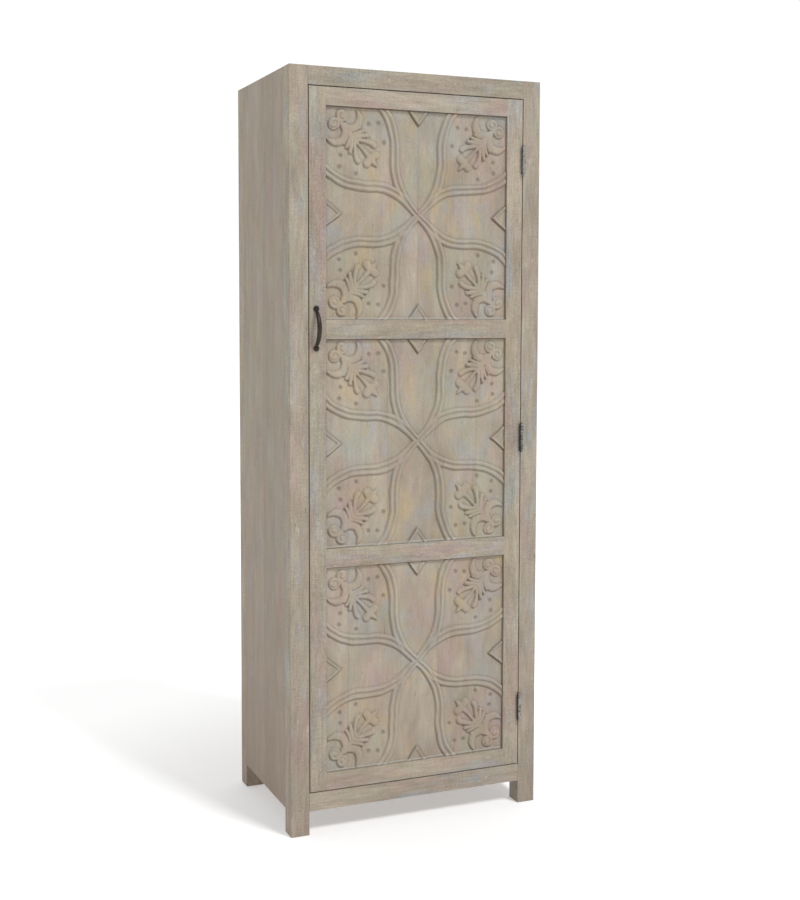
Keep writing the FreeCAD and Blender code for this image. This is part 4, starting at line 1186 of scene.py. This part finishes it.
def round_edge(grid):
    """What is round the edge of a grid, in order."""
    return np.concatenate([grid[0, :-1], grid[:-1, -1], grid[-1, :0:-1], grid[:0:-1, 0]])


def board_mesh(name, face, rings):
    """Mesh of a grid of face points, walled by rings of points behind it and closed."""
    rows, columns = face.shape[:2]
    index = np.arange(rows * columns).reshape(rows, columns)
    faces = [np.stack([index[:-1, :-1], index[:-1, 1:], index[1:, 1:], index[1:, :-1]], -1).reshape(-1, 4)]
    before = round_edge(index)
    count = len(before)
    for step in range(len(rings)):
        after = rows * columns + step * count + np.arange(count)
        faces.append(np.stack([np.roll(before, -1), before, after, np.roll(after, -1)], -1))
        before = after
    mesh = bpy.data.meshes.new(name)
    verts = np.concatenate([face.reshape(-1, 3)] + rings)
    mesh.from_pydata(verts, [], np.concatenate(faces).tolist() + [before[::-1].tolist()])
    mesh.polygons.foreach_set("use_smooth", np.arange(len(mesh.polygons)) < len(faces[0]))
    return mesh


def carved_panel(level, number):
    """Carved board that stands for a panel's node, with its tongue in the door's groove."""
    node = f"carved_panel_{level}"
    low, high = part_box(node)
    middle = (low + high) / 2
    half_u = ((high.x - low.x) / 2 - TONGUE - PLAY) / MM
    half_v = ((high.z - low.z) / 2 - TONGUE - PLAY) / MM
    grid_u, grid_v, height, layers = relief(half_u, half_v, np.random.default_rng(SEED + number))
    face = np.stack([middle.x + grid_u * MM, low.y - height * MM, middle.z + grid_v * MM], -1)
    centre = np.array([middle.x, 0, middle.z])
    spread = np.array([(high.x - low.x) / (half_u * 2 * MM), 1, (high.z - low.z) / (half_v * 2 * MM)])
    front, back = (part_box("door_pull_stile")[0].y + depth for depth in TONGUE_DEPTHS)
    rings = []
    for reach, depth in ((1, front), (spread, front), (spread, back), (1, back), (1, high.y)):
        ring = centre + (round_edge(face) - centre) * reach
        ring[:, 1] = depth
        rings.append(ring)
    mesh = board_mesh(f"carving_{level}", face, rings)
    for layer, values in layers.items():
        everywhere = np.zeros(len(mesh.vertices), np.float32)
        everywhere[:values.size] = values.reshape(-1)
        mesh.attributes.new(layer, "FLOAT", "POINT").data.foreach_set("value", everywhere)
    obj = add(f"carving_{level}", mesh)
    boards = ("X", half_u * MM, middle.x + PANEL_JOINTS[level])
    finish = (ROUGH["carved"], TINTS["carved"], CARVED_SHADES[level], boards, "carved")
    mesh.materials.append(limed_wood(f"carved_wood_{level}", "Z", SEEDS["carved"] + number, *finish))
    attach(obj, "door")
    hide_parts(node)


def glued_boards(name, axis, count):
    """Axis, width and start of the equal boards that a node is glued from."""
    start, end = (corner["XYZ".index(axis)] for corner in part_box(name))
    return axis, (end - start) / count, start


def case_and_door_wood():
    """Limed wood and softened edges for every wooden node but the carved panels."""
    for number, name in enumerate(sorted(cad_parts)):
        words = name.split("_")
        grain = next((GRAINS[word] for word in words if word in GRAINS), None)
        if grain is None or "carved" in words:
            continue
        boards = next((glued_boards(name, *BOARDS[word]) for word in words if word in BOARDS), None)
        rough = ROUGH["sawn" if boards or "cleat" in words else "frame"]
        place = "door" if "door" in words else "case"
        tints = TINTS["side" if boards or "rear" in words else place]
        shade = NODE_SHADES.get(name, 1.0)
        paint_node(name, limed_wood(f"wood_{name}", grain, number, rough, tints, shade, boards))
        node_edges(name, BEVELS[place])


def catch():
    """Finish of the catch behind the door, its plate and their screws."""
    paint_node("magnetic_catch", catch_plastic())
    node_edges("magnetic_catch", BEVELS["catch"])
    for number, name in enumerate(("catch_strike_plate", "catch_screws", "strike_screws")):
        paint_node(name, steel(f"steel_{name}", SEEDS["catch"] + number, *CATCH_STEEL))


make_camera()
make_light()
make_floor()
case_and_door_wood()
catch()
for number, level in enumerate(("bottom", "middle", "top")):
    carved_panel(level, number)
pull()
hinges()
